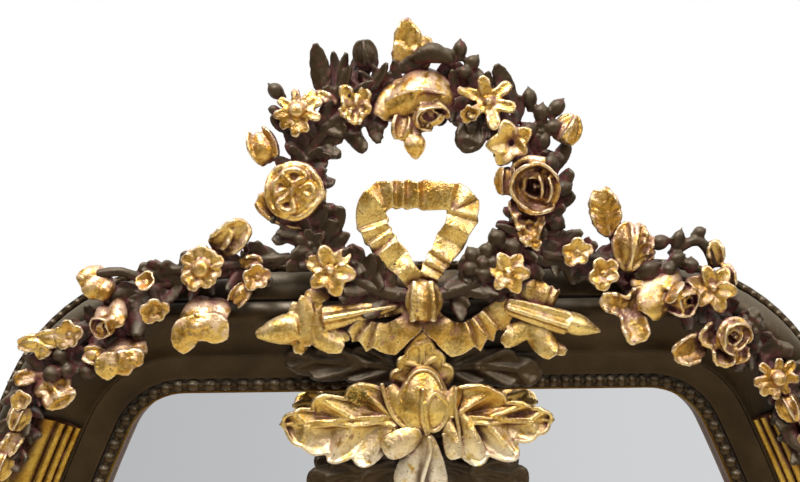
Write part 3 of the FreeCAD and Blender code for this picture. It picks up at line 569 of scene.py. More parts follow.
def flower_at(x, rise, front, turn=0.0, up=0.0, spin=0.0):
    """Matrix that sets a form at a place, facing the viewer, turned to the right and up."""
    return (Matrix.Translation((x, rise, front)) @ Matrix.Rotation(math.radians(turn), 4, "Y")
            @ Matrix.Rotation(math.radians(-up), 4, "X") @ Matrix.Rotation(math.radians(spin), 4, "Z"))


def leaf(foot, end, width, roll=0.0, **cut):
    """One leaf from its foot to its end."""
    length = (Vector(end) - Vector(foot)).length
    return moved([blade(length, width, **cut)], leaf_at(foot, end, roll))


def lobe_edge(share, points, middle, bulge):
    """Edge of a lobed leaf: arcs that swell outwards between its notches and tips."""
    line = np.array(points, float)
    steps = len(points) - 1
    step = np.minimum((share * steps).astype(int), steps - 1)
    rest = share * steps - step
    start = line[step]
    end = line[step + 1]
    here = start + (end - start) * rest[:, None]
    away = here - middle
    away /= np.maximum(np.hypot(away[:, 0], away[:, 1]), 1e-6)[:, None]
    swell = bulge * np.hypot(*(end - start).T) * np.sin(np.pi * rest)
    return here + away * swell[:, None]


def lobed_leaf(spine, one, other, bulge=0.16, pocket=2.5, vein=1.8, rim=1.5, curl=2.0, thick=4.0):
    """Broad leaf over (x, rise, front) points of its main vein; its edges pass notches and lobes in turn."""
    deselect()
    steps = len(one) - 1
    bpy.ops.mesh.primitive_grid_add(x_subdivisions=36, y_subdivisions=12 * steps, size=2)
    piece = bpy.context.object
    places = corners_of(piece)
    across = places[:, 0]
    share = (places[:, 1] + 1) / 2
    marks = np.linspace(0, 1, len(spine))
    x, y, z = (np.interp(share, marks, column) for column in np.array(spine, float).T)
    middle = np.stack([x, y], axis=1)
    edge = np.where((across < 0)[:, None], lobe_edge(share, one, middle, bulge),
                    lobe_edge(share, other, middle, bulge))
    reach = np.abs(across)
    ridge = 0.5 - 0.5 * np.cos(np.pi * steps * share)
    z = z - pocket * (1 - ridge) * np.sin(np.pi * reach ** 0.8)
    z = z + vein * ridge ** 20 * np.sin(np.pi * reach ** 0.7)
    z = z + vein * 1.4 * np.exp(-((reach - 0.1) / 0.045) ** 2) * (1 - share ** 3)
    z = z + rim * reach ** 16 + curl * ridge * reach ** 2
    x = x + (edge[:, 0] - x) * reach
    y = y + (edge[:, 1] - y) * reach
    shape(piece, x, y, z)
    return work(piece, "SOLIDIFY", thickness=thick, offset=0.0)


def ring(count, inset, lift, spin=0.0, **cut):
    """Like petals in a ring about +Z."""
    first = blade(**cut)
    chance = random.Random(count)
    parts = []
    for step in range(count):
        turn = math.radians(spin + chance.uniform(-9, 9)) + 2 * math.pi * step / count
        around = Matrix.Rotation(turn, 4, "Z")
        tilt = Matrix.Rotation(math.radians(lift + chance.uniform(-11, 11)) + cut.get("bend", 0) / 2, 4, "X")
        size = Matrix.Scale(chance.uniform(0.84, 1.1), 4)
        parts.append(again(first, around @ Matrix.Translation((0, inset, 0)) @ tilt @ size))
    bpy.data.objects.remove(first)
    return parts


def daisy(radius, petals, button=0.33, fill=1.25):
    """Open flower with grooved petals about a domed button, facing +Z."""
    width = fill * radius * math.sin(math.pi / petals)
    parts = ring(petals, 0.24 * radius, 14, length=0.8 * radius, width=width, base=0.55, tip=0.32, cup=0.35,
                 rib=-0.08 * radius, bend=-0.35, thick=0.16 * radius, rows=14, columns=8)
    parts += moved([turned(0.6 * radius, [button * radius * f for f in (0.9, 1.0, 1.0, 0.92, 0.6)])],
                   FACE_FORWARD @ Matrix.Translation((0, -0.12 * radius, 0)))
    return parts


def rose(radius, layers, heart=0.22):
    """Rose about +Z; each layer is (petals, length, width, lift, bend, spin) in shares of the radius."""
    parts = []
    for petals, length, width, lift, bend, spin in layers:
        parts += ring(petals, 0.05 * radius, lift, spin, length=length * radius, width=width * radius,
                      base=0.5, tip=0.3, cup=0.55, bend=bend, ruffle=0.05 * radius, waves=1.5,
                      rim=-0.07 * radius, thick=0.13 * radius, rows=16, columns=12)
    middle = turned(0.7 * radius, round_radii(heart * radius, 0.5), flutes=3, depth=0.18, twist=3.0)
    parts += moved([middle], FACE_FORWARD)
    return parts


def bud(length, radius, petals=3, opening=0.12):
    """Closed bud along +Y, wrapped in pointed petals."""
    parts = [turned(length * 0.94, round_radii(radius * 0.86, 0.6, lean=-0.25))]
    wrap = blade(length, radius * 1.9, base=0.5, tip=0.5, cup=1.15, bend=-0.5, thick=0.22 * radius, rows=16)
    for step in range(petals):
        around = Matrix.Rotation(2 * math.pi * (step + 0.5) / petals, 4, "Y")
        parts.append(again(wrap, around @ Matrix.Translation((0, 0, 0.5 * radius))
                           @ Matrix.Rotation(opening - 0.25, 4, "X")))
    bpy.data.objects.remove(wrap)
    return parts


def berry(length, radius):
    """Dark berry along +Y with a collar and a nib."""
    parts = [turned(length, round_radii(radius, 0.55, lean=0.1), segments=16, rings=12)]
    parts += moved([turned(length * 0.2, [radius * 0.55, radius * 0.6, radius * 0.4], segments=12, rings=6)],
                   Matrix.Translation((0, -length * 0.06, 0)))
    parts += moved([turned(length * 0.22, [radius * 0.3, radius * 0.22, radius * 0.1], segments=8, rings=6)],
                   Matrix.Translation((0, length * 0.9, 0)))
    return parts


def stem(points, radius, taper=1.0):
    """Round stem through points of the crest."""
    curve = bpy.data.curves.new("stem", "CURVE")
    curve.dimensions = "3D"
    curve.bevel_depth = radius
    curve.bevel_resolution = 3
    curve.use_fill_caps = True
    spline = curve.splines.new("NURBS")
    spline.points.add(len(points) - 1)
    for share, (knot, place) in enumerate(zip(spline.points, points)):
        knot.co = (*place, 1.0)
        knot.radius = 1 + (taper - 1) * share / (len(points) - 1)
    spline.order_u = 3
    spline.use_endpoint_u = True
    piece = bpy.data.objects.new("stem", curve)
    bpy.context.scene.collection.objects.link(piece)
    only(piece)
    bpy.ops.object.convert(target="MESH")
    return bpy.context.object


def ribbon(points, width, fold, pitch, front, thick=3.4, ends=(1.0, 1.0), crown=1.5, wobble=0.06, hem=0):
    """Pleated ribbon along (x, rise) points, its face forward."""
    line = np.array(points, float)
    for _ in range(3):
        cut = np.empty((2 * len(line) - 2, 2))
        cut[0::2] = 0.75 * line[:-1] + 0.25 * line[1:]
        cut[1::2] = 0.25 * line[:-1] + 0.75 * line[1:]
        line = np.vstack([line[:1], cut, line[-1:]])
    steps = np.r_[0, np.cumsum(np.hypot(*np.diff(line, axis=0).T))]
    length = steps[-1]
    deselect()
    bpy.ops.mesh.primitive_grid_add(x_subdivisions=8, y_subdivisions=int(length / 1.2), size=2)
    piece = bpy.context.object
    places = corners_of(piece)
    across = places[:, 0]
    at = (places[:, 1] + 1) / 2 * length
    x = np.interp(at, steps, line[:, 0])
    y = np.interp(at, steps, line[:, 1])
    slope_x = np.interp(at + 1, steps, line[:, 0]) - np.interp(at - 1, steps, line[:, 0])
    slope_y = np.interp(at + 1, steps, line[:, 1]) - np.interp(at - 1, steps, line[:, 1])
    size = np.hypot(slope_x, slope_y)
    phase = (at / pitch + 0.4 * np.sin(at / pitch * 1.7)) % 1
    saw = np.minimum(phase / 0.75, (1 - phase) / 0.25) ** 0.8
    flare = np.interp(at / length, np.linspace(0, 1, len(ends)), ends)
    half = width / 2 * flare * (1 + wobble * (1 - 2 * saw) * (np.sign(across) == hem if hem else 1))
    x = x + slope_y / size * half * across
    y = y - slope_x / size * half * across
    z = front + fold * (saw - 0.5) * (0.75 - 0.25 * across) + crown * (1 - across ** 2)
    shape(piece, x, y, z)
    return work(piece, "SOLIDIFY", thickness=thick, offset=0.0)


# Frame mouldings

def arc(start, middle, end, steps):
    """Points of the arc through three (out, front) points, without its start."""
    (ax, ay), (bx, by), (cx, cy) = start, middle, end
    d = 2 * (ax * (by - cy) + bx * (cy - ay) + cx * (ay - by))
    a, b, c = ax ** 2 + ay ** 2, bx ** 2 + by ** 2, cx ** 2 + cy ** 2
    ux = (a * (by - cy) + b * (cy - ay) + c * (ay - by)) / d
    uy = (a * (cx - bx) + b * (ax - cx) + c * (bx - ax)) / d
    first = math.atan2(ay - uy, ax - ux)
    swing = math.remainder(math.atan2(by - uy, bx - ux) - first, 2 * math.pi)
    swing += math.remainder(math.atan2(cy - uy, cx - ux) - math.atan2(by - uy, bx - ux), 2 * math.pi)
    radius = math.hypot(ax - ux, ay - uy)
    turns = [first + swing * k / steps for k in range(1, steps + 1)]
    return [(ux + radius * math.cos(turn), uy + radius * math.sin(turn)) for turn in turns]


def eased(points, ease):
    """Outline with its sharp corners rounded off a little."""
    soft = []
    for k, corner in enumerate(points):
        here = Vector(corner)
        before = Vector(points[k - 1]) - here
        after = Vector(points[(k + 1) % len(points)]) - here
        if before.angle(after) > math.radians(150):
            soft.append(tuple(here))
            continue
        start = here + before.normalized() * min(ease, before.length / 2.5)
        end = here + after.normalized() * min(ease, after.length / 2.5)
        soft += [tuple(start), tuple(here * 0.5 + (start + end) * 0.25), tuple(end)]
    return soft


def rail_outline():
    """Section of the frame as (out, front) points, from the sight edge round to the rebate."""
    outline = [(0, 16), (0, 27), (13, 27), (13, 30)]
    outline += arc((13, 30), (24, 32), (35, 37), 6)
    outline += [(35, 40), (37, 40)]
    outline += arc((37, 40), (50.5, 41.5), (64, 49), 10)
    outline += arc((64, 49), (74.5, 53.5), (85, 49), 10)
    outline += [(85, 45), (87, 45), (87, 49)]
    outline += arc((87, 49), (99, 47.5), (111, 40), 8)
    outline += [(111, 32), (119, 32), (119, 0), (12, 0), (12, 16)]
    return eased(outline, 0.9)


def heading(turn):
    """Direction (x, z) at an angle clockwise from straight up."""
    return math.sin(math.radians(turn)), math.cos(math.radians(turn))


def runs():
    """Members of the frame: straight (start, turn, length) or round (centre, radius, start turn, turn)."""
    half = TOP_STRAIGHT / 2
    top = (half, SIGHT_TOP - CORNER_RADIUS)
    low = (half, SIGHT_BOTTOM + CORNER_RADIUS)
    lean = heading(CORNER_TURN)
    side = tuple(c + d * (CORNER_RADIUS - SIDE_RADIUS) for c, d in zip(top, lean))
    bow = 2 * (90 - CORNER_TURN)
    return {
        "top_rail": ((-half, SIGHT_TOP), 0, TOP_STRAIGHT),
        "corner_top_right": (top, CORNER_RADIUS, 0, CORNER_TURN),
        "stile_right": (side, SIDE_RADIUS, CORNER_TURN, bow),
        "corner_bottom_right": (low, CORNER_RADIUS, 180 - CORNER_TURN, CORNER_TURN),
        "bottom_rail": ((half, SIGHT_BOTTOM), 180, TOP_STRAIGHT),
        "corner_bottom_left": ((-low[0], low[1]), CORNER_RADIUS, 180, CORNER_TURN),
        "stile_left": ((-side[0], side[1]), SIDE_RADIUS, 180 + CORNER_TURN, bow),
        "corner_top_left": ((-top[0], top[1]), CORNER_RADIUS, 360 - CORNER_TURN, CORNER_TURN),
    }


def moulding(outline, run, trim=0.0):
    """Closed moulding with the outline along one member of the frame, in millimetres."""
    deselect()
    bpy.ops.mesh.primitive_circle_add(vertices=len(outline), fill_type="NOTHING")
    piece = bpy.context.object
    out = np.array([o for o, _ in outline])
    front = np.array([f for _, f in outline])
    if len(run) == 3:
        (x, z), turn, length = run
        away = heading(turn)
        shape(piece, x + away[0] * out, -front, z + away[1] * out)
    else:
        (x, z), radius, turn, swing = run
        turn = turn + trim
        swing = swing - 2 * trim
        away = heading(turn)
        shape(piece, x + away[0] * (radius + out), -front, z + away[1] * (radius + out))
    only(piece)
    bpy.ops.object.mode_set(mode="EDIT")
    bpy.ops.mesh.select_all(action="SELECT")
    if len(run) == 3:
        along = heading(turn + 90)
        reach = (along[0] * length, 0, along[1] * length)
        bpy.ops.mesh.extrude_region_move(TRANSFORM_OT_translate={"value": reach})
    else:
        bpy.ops.mesh.spin(steps=max(12, int(swing * radius / 500)), angle=math.radians(swing),
                          center=(x, 0, z), axis=(0, -1, 0))
    bpy.ops.mesh.select_all(action="DESELECT")
    bpy.ops.mesh.select_non_manifold()
    bpy.ops.mesh.edge_face_add()
    bpy.ops.mesh.select_all(action="SELECT")
    bpy.ops.mesh.normals_make_consistent(inside=False)
    bpy.ops.object.mode_set(mode="OBJECT")
    return piece


def recess(piece, low, high):
    """Cuts a box-shaped recess into a piece."""
    deselect()
    middle = (Vector(low) + Vector(high)) / 2
    bpy.ops.mesh.primitive_cube_add(size=1, location=middle)
    tool = bpy.context.object
    tool.dimensions = Vector(high) - Vector(low)
    bpy.ops.object.transform_apply(location=True, rotation=False, scale=True)
    work(piece, "BOOLEAN", operation="DIFFERENCE", object=tool, solver="EXACT")
    bpy.data.objects.remove(tool)


def round_the_frame(out, pitch, drift):
    """Places (x, z, stretch) of beads round the frame.

    The pitch drifts along the straight rails, as on a hand-made strip.
    """
    places = []
    for run in runs().values():
        if len(run) == 3:
            (x, z), turn, length = run
            count = round(length / pitch)
            along = heading(turn + 90)
            away = heading(turn)
            for step in range(count):
                share = (step + 0.5) / count
                gone = share * (1 + drift - drift * share) * length
                places.append((x + along[0] * gone + away[0] * out, z + along[1] * gone + away[1] * out,
                               1 + drift - 2 * drift * share))
        else:
            (x, z), radius, turn, swing = run
            count = round(math.radians(swing) * (radius + out) / pitch)
            for step in range(count):
                here = turn + (step + 0.5) / count * swing
                away = heading(here)
                places.append((x + away[0] * (radius + out), z + away[1] * (radius + out), 1.0))
    return places


def bead_row(node, out, front, radius, pitch, slot, drift=0.0):
    """Row of single beads joined by a thin reel, in place of a bead strip."""
    deselect()
    bpy.ops.mesh.primitive_ico_sphere_add(subdivisions=2, radius=1)
    bead = bpy.context.object
    ball = corners_of(bead) * np.array((radius * 0.98, radius * 0.92, radius * 0.98))
    faces = np.array([tuple(p.vertices) for p in bead.data.polygons])
    bpy.data.objects.remove(bead)
    places = round_the_frame(out, pitch, drift)
    corners = []
    triangles = []
    for count, (x, z, stretch) in enumerate(places):
        corners.append(ball * np.array((stretch, 1, 1)) + np.array((x, -front, z)))
        triangles.append(faces + count * len(ball))
    mesh = bpy.data.meshes.new(node)
    mesh.from_pydata(np.vstack(corners).tolist(), [], np.vstack(triangles).tolist())
    row = bpy.data.objects.new(node, mesh)
    bpy.context.scene.collection.objects.link(row)
    strip = []
    half = radius * 0.45
    for run in runs().values():
        strip.append(moulding([(out - half, front - 0.2), (out - half * 0.6, front + half * 0.8),
                               (out + half * 0.6, front + half * 0.8), (out + half, front - 0.2)], run))
    piece = joined([row] + strip)
    piece.data.transform(Matrix.Scale(MM, 4))
    settle(piece, node + "_carved", slot, node, smooth=50)


# Section of the gilt lining as (out, front) points
LINING = [(-0.5, 16.2), (-0.5, 27.0), (0.1, 27.6), (1.6, 27.6), (1.6, 16.2)]


class MIRROR_OT_finishes(bpy.types.Operator):
    """Makes the finishes of all pieces"""
    bl_idname = "mirror.finishes"
    bl_label = "Finishes"

    def execute(self, context):
        colours = context.scene.mirror_colours
        gilding("gilding", colours, tint=(1.0, 1.0, 1.0), rosy=0.75, shade_and_specks=0.9)
        gilding("gilding.bright", colours, tint=(1.0, 1.10, 1.4), rosy=0.5, shade_and_specks=0.9)
        gilding("gilding.leaf", colours, tint=(1.0, 1.07, 1.15), rosy=0.4, shade_and_specks=0.9,
                rubbed_below=(SIGHT_TOP - 30) * MM,
                stain=(-0.051, -(SEAT + 14) * MM, (SIGHT_TOP - 2) * MM))
        gilding("gilding.rosy", colours, tint=(0.95, 0.94, 0.92), rosy=0.75, shade_and_specks=0.95)
        gilding("gilding.dull", colours, tint=(0.66, 0.63, 0.42), rosy=0.1, shade_and_specks=0.85, rims=0.0)
        gilding("gilding.lining", colours, tint=(0.20, 0.19, 0.14), rosy=0.0, shade_and_specks=0.85, rims=0.0)
        bronze_paint("bronzed_wood", colours, pale_top_and_light_share=0.9, red_share=0.0, metal=0.8, dullness=0.25,
                     lift=1.1)
        bronze_paint("bronzed_wood.bead", colours, pale_top_and_light_share=0.75, red_share=0.0, metal=0.7, dullness=0.25,
                     lift=1.7, hollow_shade=0.45)
        bronze_paint("bronzed_compo", colours, pale_top_and_light_share=0.5, red_share=0.9, metal=0.55, dullness=0.36,
                     lift=1.1)
        bronze_paint("bronzed_compo.flat", colours, pale_top_and_light_share=0.6, red_share=0.12, metal=0.65, dullness=0.34,
                     lift=1.5)
        silvered_glass(colours)
        pine_board(colours)
        old_metal("black_iron", (0.055, 0.05, 0.047), rust=(0.10, 0.045, 0.02), rough=0.5, metal=0.8)
        old_metal("aged_brass", (0.56, 0.38, 0.14), rust=(0.16, 0.10, 0.045), rough=0.32, metal=1.0)
        old_metal("steel_screw", (0.42, 0.40, 0.37), rust=(0.16, 0.11, 0.075), rough=0.4, metal=0.9)
        return {"FINISHED"}


class MIRROR_OT_frame(bpy.types.Operator):
    """Models the moulded members of the frame and the reeded strips on its sides"""
    bl_idname = "mirror.frame"
    bl_label = "Frame mouldings"

    def execute(self, context):
        members = runs()
        for node, run in members.items():
            piece = moulding(rail_outline(), run)
            piece.data.transform(Matrix.Scale(MM, 4))
            if node == "top_rail":
                for side in ("left", "right"):
                    low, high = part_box("crest_stay_" + side)
                    recess(piece, (low.x, -STAY_DEPTH * MM, low.z),
                           (high.x, CLEAR * MM, RAIL_HIGH.z + CLEAR * MM))
            if node.startswith("stile"):
                low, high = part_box(node.replace("stile", "hanger_plate"))
                middle = (low.x + high.x) / 2
                recess(piece, (middle - POCKET_HALF * MM, -POCKET_DEPTH * MM, high.z - POCKET_BELOW * MM),
                       (middle + POCKET_HALF * MM, CLEAR * MM, high.z + POCKET_ABOVE * MM))
            settle(piece, node + "_moulding", "bronzed_wood", node, smooth=38)
        # Five reeds of growing width, closed by the back of the strip along the rail's own section
        rib = [(37, 40), (37, 42.5)] + arc((37, 42.5), (40, 45.5), (43, 43.5), 5)
        rib += arc((43, 43.5), (46.5, 48.5), (50, 46), 5) + arc((50, 46), (54, 52), (58, 49.5), 5)
        rib += arc((58, 49.5), (67, 57), (76, 54), 8) + arc((76, 54), (80.5, 54), (85, 50.5), 5)
        rib += arc((85, 49), (74.5, 53.5), (64, 49), 6) + arc((64, 49), (50.5, 41.5), (37, 40), 6)[:-1]
        for side in ("left", "right"):
            piece = moulding(eased(rib, 0.5), members["stile_" + side], trim=math.degrees(12 / SIDE_RADIUS))
            piece.data.transform(Matrix.Scale(MM, 4))
            settle(piece, "reeding_" + side + "_strip", "gilding.dull", "reeding_" + side, smooth=38)
        return {"FINISHED"}


class MIRROR_OT_beads(bpy.types.Operator):
    """Sets single beads along the sight edge and the outer edge, and lines the sight edge with gilding"""
    bl_idname = "mirror.beads"
    bl_label = "Bead rows"

    def execute(self, context):
        sizes = context.scene.mirror_sizes
        bead_row("inner_bead_strips", out=6.8, front=27.5, radius=5.5, pitch=sizes.inner_pitch / MM,
                 slot="bronzed_wood.bead", drift=0.24)
        bead_row("outer_bead_strips", out=115, front=32.2, radius=3.8, pitch=sizes.outer_pitch / MM,
                 slot="bronzed_wood.bead")
        lining = joined([moulding(LINING, run) for run in runs().values()])
        lining.data.transform(Matrix.Scale(MM, 4))
        settle(lining, "sight_edge_lining", "gilding.lining", smooth=38)
        return {"FINISHED"}


class MIRROR_OT_back(bpy.types.Operator):
    """Finishes the glass, the board, its blocks, the hangers, stays and screws"""
    bl_idname = "mirror.back"
    bl_label = "Glass and back"

    def execute(self, context):
        slots = {row["node"]: row["material_slot"] for row in frame["record"]["subparts"]}
        for node in ("mirror_glass", "backboard", "rebate_blocks", "wood_screws", "crest_stay_left",
                     "crest_stay_right", "hanger_plate_left", "hanger_plate_right", "hanger_ring_left",
                     "hanger_ring_right"):
            piece = frame["nodes"][node]
            piece.data.materials.clear()
            piece.data.materials.append(finishes[slots[node]])
        return {"FINISHED"}


# Crest pieces; the styles are settings of blade

FINGER = {"base": 0.45, "tip": 0.42, "cup": -0.9, "bend": 0.45, "rib": -1.4, "thick": 5.0, "rows": 16,
          "columns": 8}
POINTED = {"base": 0.5, "tip": 0.7, "cup": -0.5, "bend": 0.4, "rib": 2.2, "thick": 4.0, "rows": 16,
           "columns": 8}
FEATHER = {"base": 0.5, "tip": 0.6, "cup": -0.4, "rib": 2.4, "veins": 5, "vein": 1.3, "bend": 0.2,
           "thick": 4.0}
CUPPED = {"base": 0.5, "tip": 0.42, "cup": 0.8, "rim": 2.4, "rib": 1.8, "bend": -0.3, "ruffle": 0.8,
          "thick": 3.8}
SHELL = {"base": 0.4, "tip": 0.32, "cup": -1.0, "bend": -1.3, "rim": -1.0, "ruffle": 0.6, "waves": 1.5,
         "thick": 4.5}

# Most that a scattered leaf rises towards the viewer, and seeds in the right garland's seed head
THICKET_LIFT = 12
SEEDS = 26

# Lines of the garlands' stems as (x, rise, front) points
STEM_LEFT = [(-97, 127, 13), (-132, 119, 8), (-163, 111, 6), (-202, 107, 6), (-236, 99, 6), (-262, 82, 6),
             (-288, 61, 6), (-318, 36, 7), (-348, -3, 10), (-364, -42, 10)]
STEM_RIGHT = [(98, 129, 13), (124, 124, 8), (151, 118, 7), (185, 107, 6), (219, 98, 6), (254, 84, 6),
              (284, 58, 6), (310, 28, 7), (334, -11, 10), (350, -50, 10)]


def wreath_point(turn, shift=0.0):
    """Point of the wreath's branch at an angle from the right."""
    angle = math.radians(turn)
    return (WREATH_MIDDLE[0] + WREATH_HALF[0] * math.cos(angle),
            WREATH_MIDDLE[1] + WREATH_HALF[1] * math.sin(angle), WREATH_FRONT + shift)


def leaves(rows, style, turn=12.0):
    """Leaves of one style, each turned a little; a row is base x, rise, front, tip x, rise, front, width."""
    chance = random.Random(len(rows))
    parts = []
    for bx, by, bz, tx, ty, tz, width in rows:
        parts += leaf((bx, by, bz), (tx, ty, tz), width, roll=chance.uniform(-turn, turn), **style)
    return parts


def along(aim, lean):
    """Unit direction in the crest at an angle clockwise from up, leaning forward."""
    angle = math.radians(aim)
    return Vector((math.sin(angle), math.cos(angle), lean)).normalized()


def pointing(parts, x, rise, front, aim, length, lean=0.15):
    """Parts along +Y, laid with their middle at a place and their tip towards an aim."""
    way = along(aim, lean)
    middle = Vector((x, rise, front))
    return moved(parts, leaf_at(middle - way * length / 2, middle + way * length / 2))


def berries(rows):
    """Berries; each row is x, rise, front, aim, length and radius."""
    parts = []
    for x, rise, front, aim, length, radius in rows:
        parts += pointing(berry(length, radius), x, rise, front, aim, length)
    return parts


def cup_flower(radius, petals, lift=38, bend=-0.7, tip=0.45, core=0.2, fill=1.5):
    """Small open flower with a hollow heart, facing +Z."""
    width = fill * radius * math.sin(math.pi / petals)
    parts = ring(petals, 0.16 * radius, lift, length=1.05 * radius, width=width, base=0.5, tip=tip, cup=0.5,
                 bend=bend, rib=-0.06 * radius, thick=0.2 * radius, rows=14, columns=8)
    if core:
        parts += moved([turned(0.4 * radius, round_radii(core * radius, 0.5))], FACE_FORWARD)
    return parts


def quartered_rose(radius):
    """Full rose about +Z: a rolled rim round a dome of looped folds."""
    parts = ring(7, 0.42 * radius, -8, length=0.62 * radius, width=0.85 * radius, base=0.35, tip=0.3,
                 cup=-0.5, bend=-0.9, thick=0.2 * radius, rows=12)
    parts += moved([turned(0.62 * radius, [r * radius for r in (0.86, 0.9, 0.9, 0.88, 0.8, 0.55)])],
                   FACE_FORWARD @ Matrix.Translation((0, -0.16 * radius, 0)))
    rim = [(radius * (0.84 + 0.04 * (k % 2)) * math.cos(k * 0.42),
            radius * (0.88 - 0.04 * (k % 3)) * math.sin(k * 0.42),
            radius * (0.28 + 0.05 * (k % 3))) for k in range(17)]
    parts.append(stem(rim, 0.11 * radius))
    for k, (turn, reach) in enumerate(((25, 0.66), (100, 0.6), (190, 0.68), (300, 0.64))):
        loop = []
        for step in range(9):
            swing = math.radians(turn + (40 - 6 * k) * math.sin(math.pi * (step / 4 - 1)))
            away = radius * (0.12 + (reach - 0.12) * math.sin(math.pi * step / 8) ** 0.7)
            loop.append((away * math.cos(swing), away * math.sin(swing), radius * (0.46 - 0.05 * (k % 2))))
        parts.append(stem(loop, 0.12 * radius))
    parts.append(stem([(-0.16 * radius, -0.08 * radius, 0.5 * radius), (0, 0.05 * radius, 0.54 * radius),
                       (0.16 * radius, -0.02 * radius, 0.5 * radius)], 0.09 * radius))
    return parts


def rolled_rose(radius):
    """Open rose about +Z: two rolled rims round a hollow heart."""
    parts = rose(radius, [(5, 1.2, 1.3, 24, 0.9, 0), (4, 0.8, 1.0, 46, 0.8, 40)], heart=0.15)
    for reach, height, thick, start in ((0.96, 0.42, 0.15, 0.4), (0.56, 0.5, 0.12, 2.6)):
        rim = []
        for k in range(16):
            turn = start + k * 0.42
            away = radius * reach * (1 - 0.02 * k)
            rim.append((away * math.cos(turn), away * math.sin(turn),
                        radius * (height + 0.05 * math.sin(3 * turn))))
        parts.append(stem(rim, thick * radius))
    return parts


def twig(points, radius, strands=2):
    """Stem with thinner strands that wind round it."""
    parts = [stem(points, radius)]
    line = [Vector(p) for p in points]
    for strand in range(strands):
        wound = []
        for k, place in enumerate(line):
            ahead = line[min(k + 1, len(line) - 1)] - line[max(k - 1, 0)]
            side = ahead.cross(Vector((0, 0, 1))).normalized()
            angle = 1.35 * k + 2 * math.pi * strand / strands
            away = side * math.cos(angle) + Vector((0, 0, 1)) * math.sin(angle)
            wound.append(place + away * radius * 0.75)
        parts.append(stem(wound, radius * 0.45))
    return parts


def thicket(line, count, seed, sizes, spread, style):
    """Small leaves scattered along a line of points, leaning away from it to either side."""
    chance = random.Random(seed)
    parts = []
    for k in range(count):
        place = (k + chance.random()) / count * (len(line) - 1)
        step = min(int(place), len(line) - 2)
        start = Vector(line[step]).lerp(Vector(line[step + 1]), place - step)
        way = (Vector(line[step + 1]) - Vector(line[step])).normalized()
        turn = math.radians(chance.uniform(*spread)) * chance.choice((-1, 1))
        way = Matrix.Rotation(turn, 3, "Z") @ Vector((way.x, way.y, 0)).normalized()
        length = chance.uniform(*sizes)
        foot = start + Vector((0, 0, chance.uniform(-3, 3)))
        end = foot + way * length + Vector((0, 0, chance.uniform(0, THICKET_LIFT)))
        parts += leaf(foot, end, length * chance.uniform(0.36, 0.52), roll=chance.uniform(-40, 40), **style)
    return parts


class MIRROR_OT_branches(bpy.types.Operator):
    """Models the branches of the wreath and the stems of the garlands"""
    bl_idname = "mirror.branches"
    bl_label = "Branches and stems"

    def execute(self, context):
        for side, name in ((-1, "left"), (1, "right")):
            points = [wreath_point(-90 + side * BRANCH_SWEEP * k / BRANCH_STEPS, shift=1.5 * math.sin(k))
                      for k in range(BRANCH_STEPS + 1)]
            carve("wreath_branch_" + name, twig(points, 6.6), "bronzed_compo", rough=1.4)
        for name, points in (("left", STEM_LEFT), ("right", STEM_RIGHT)):
            carve("garland_stem_" + name, twig(points, 4.6, 3), "bronzed_compo", rough=1.4)
        return {"FINISHED"}


class MIRROR_OT_wreath_roses(bpy.types.Operator):
    """Carves the three roses of the wreath"""
    bl_idname = "mirror.wreath_roses"
    bl_label = "Wreath roses"

    def execute(self, context):
        top = moved([turned(70, [4, 11, 15, 18, 19, 18, 15, 7], flat=0.95, bow=-5, segments=32, rings=24)],
                    leaf_at((-33, 248, 18), (34, 264, 20)))
        top += leaves([(2, 290, 6, 8, 262, 38, 58), (-8, 280, 14, -30, 244, 27, 24)],
                      {**SHELL, "bend": -0.9, "rim": 0.0, "ruffle": 0.0, "rows": 28, "columns": 18}, 4)
        layers = [(5, 1.15, 1.2, 24, 1.0, 10), (4, 0.85, 0.9, 45, 0.9, 40), (3, 0.6, 0.6, 60, 0.8, 0)]
        top += moved(rose(17, layers, 0.16),
                     flower_at(13, 251, 27, turn=10, up=-38) @ Matrix.Diagonal((1.15, 0.9, 1.0, 1)))
        top.append(stem([(-24, 258, 30), (-8, 265, 38), (10, 266, 41), (27, 262, 38)], 1.8))
        carve("wreath_rose_top", top, "gilding", **FLOWER_CUT)
        left = moved(quartered_rose(28), flower_at(-104, 182, 18, turn=-4, up=2, spin=58))
        left += leaf((-86, 152, 14), (-138, 176, 22), 26, base=0.5, tip=0.4, cup=0.7, bend=0.4, rim=2.0,
                     thick=4.5)
        carve("wreath_rose_left", left, "gilding", step=0.9, soften=2)
        right = moved(rolled_rose(25), flower_at(107, 187, 16, turn=-16, up=-14, spin=40)
                      @ Matrix.Diagonal((0.94, 1.06, 1.0, 1)))
        carve("wreath_rose_right", right, "gilding", **FLOWER_CUT)
        return {"FINISHED"}


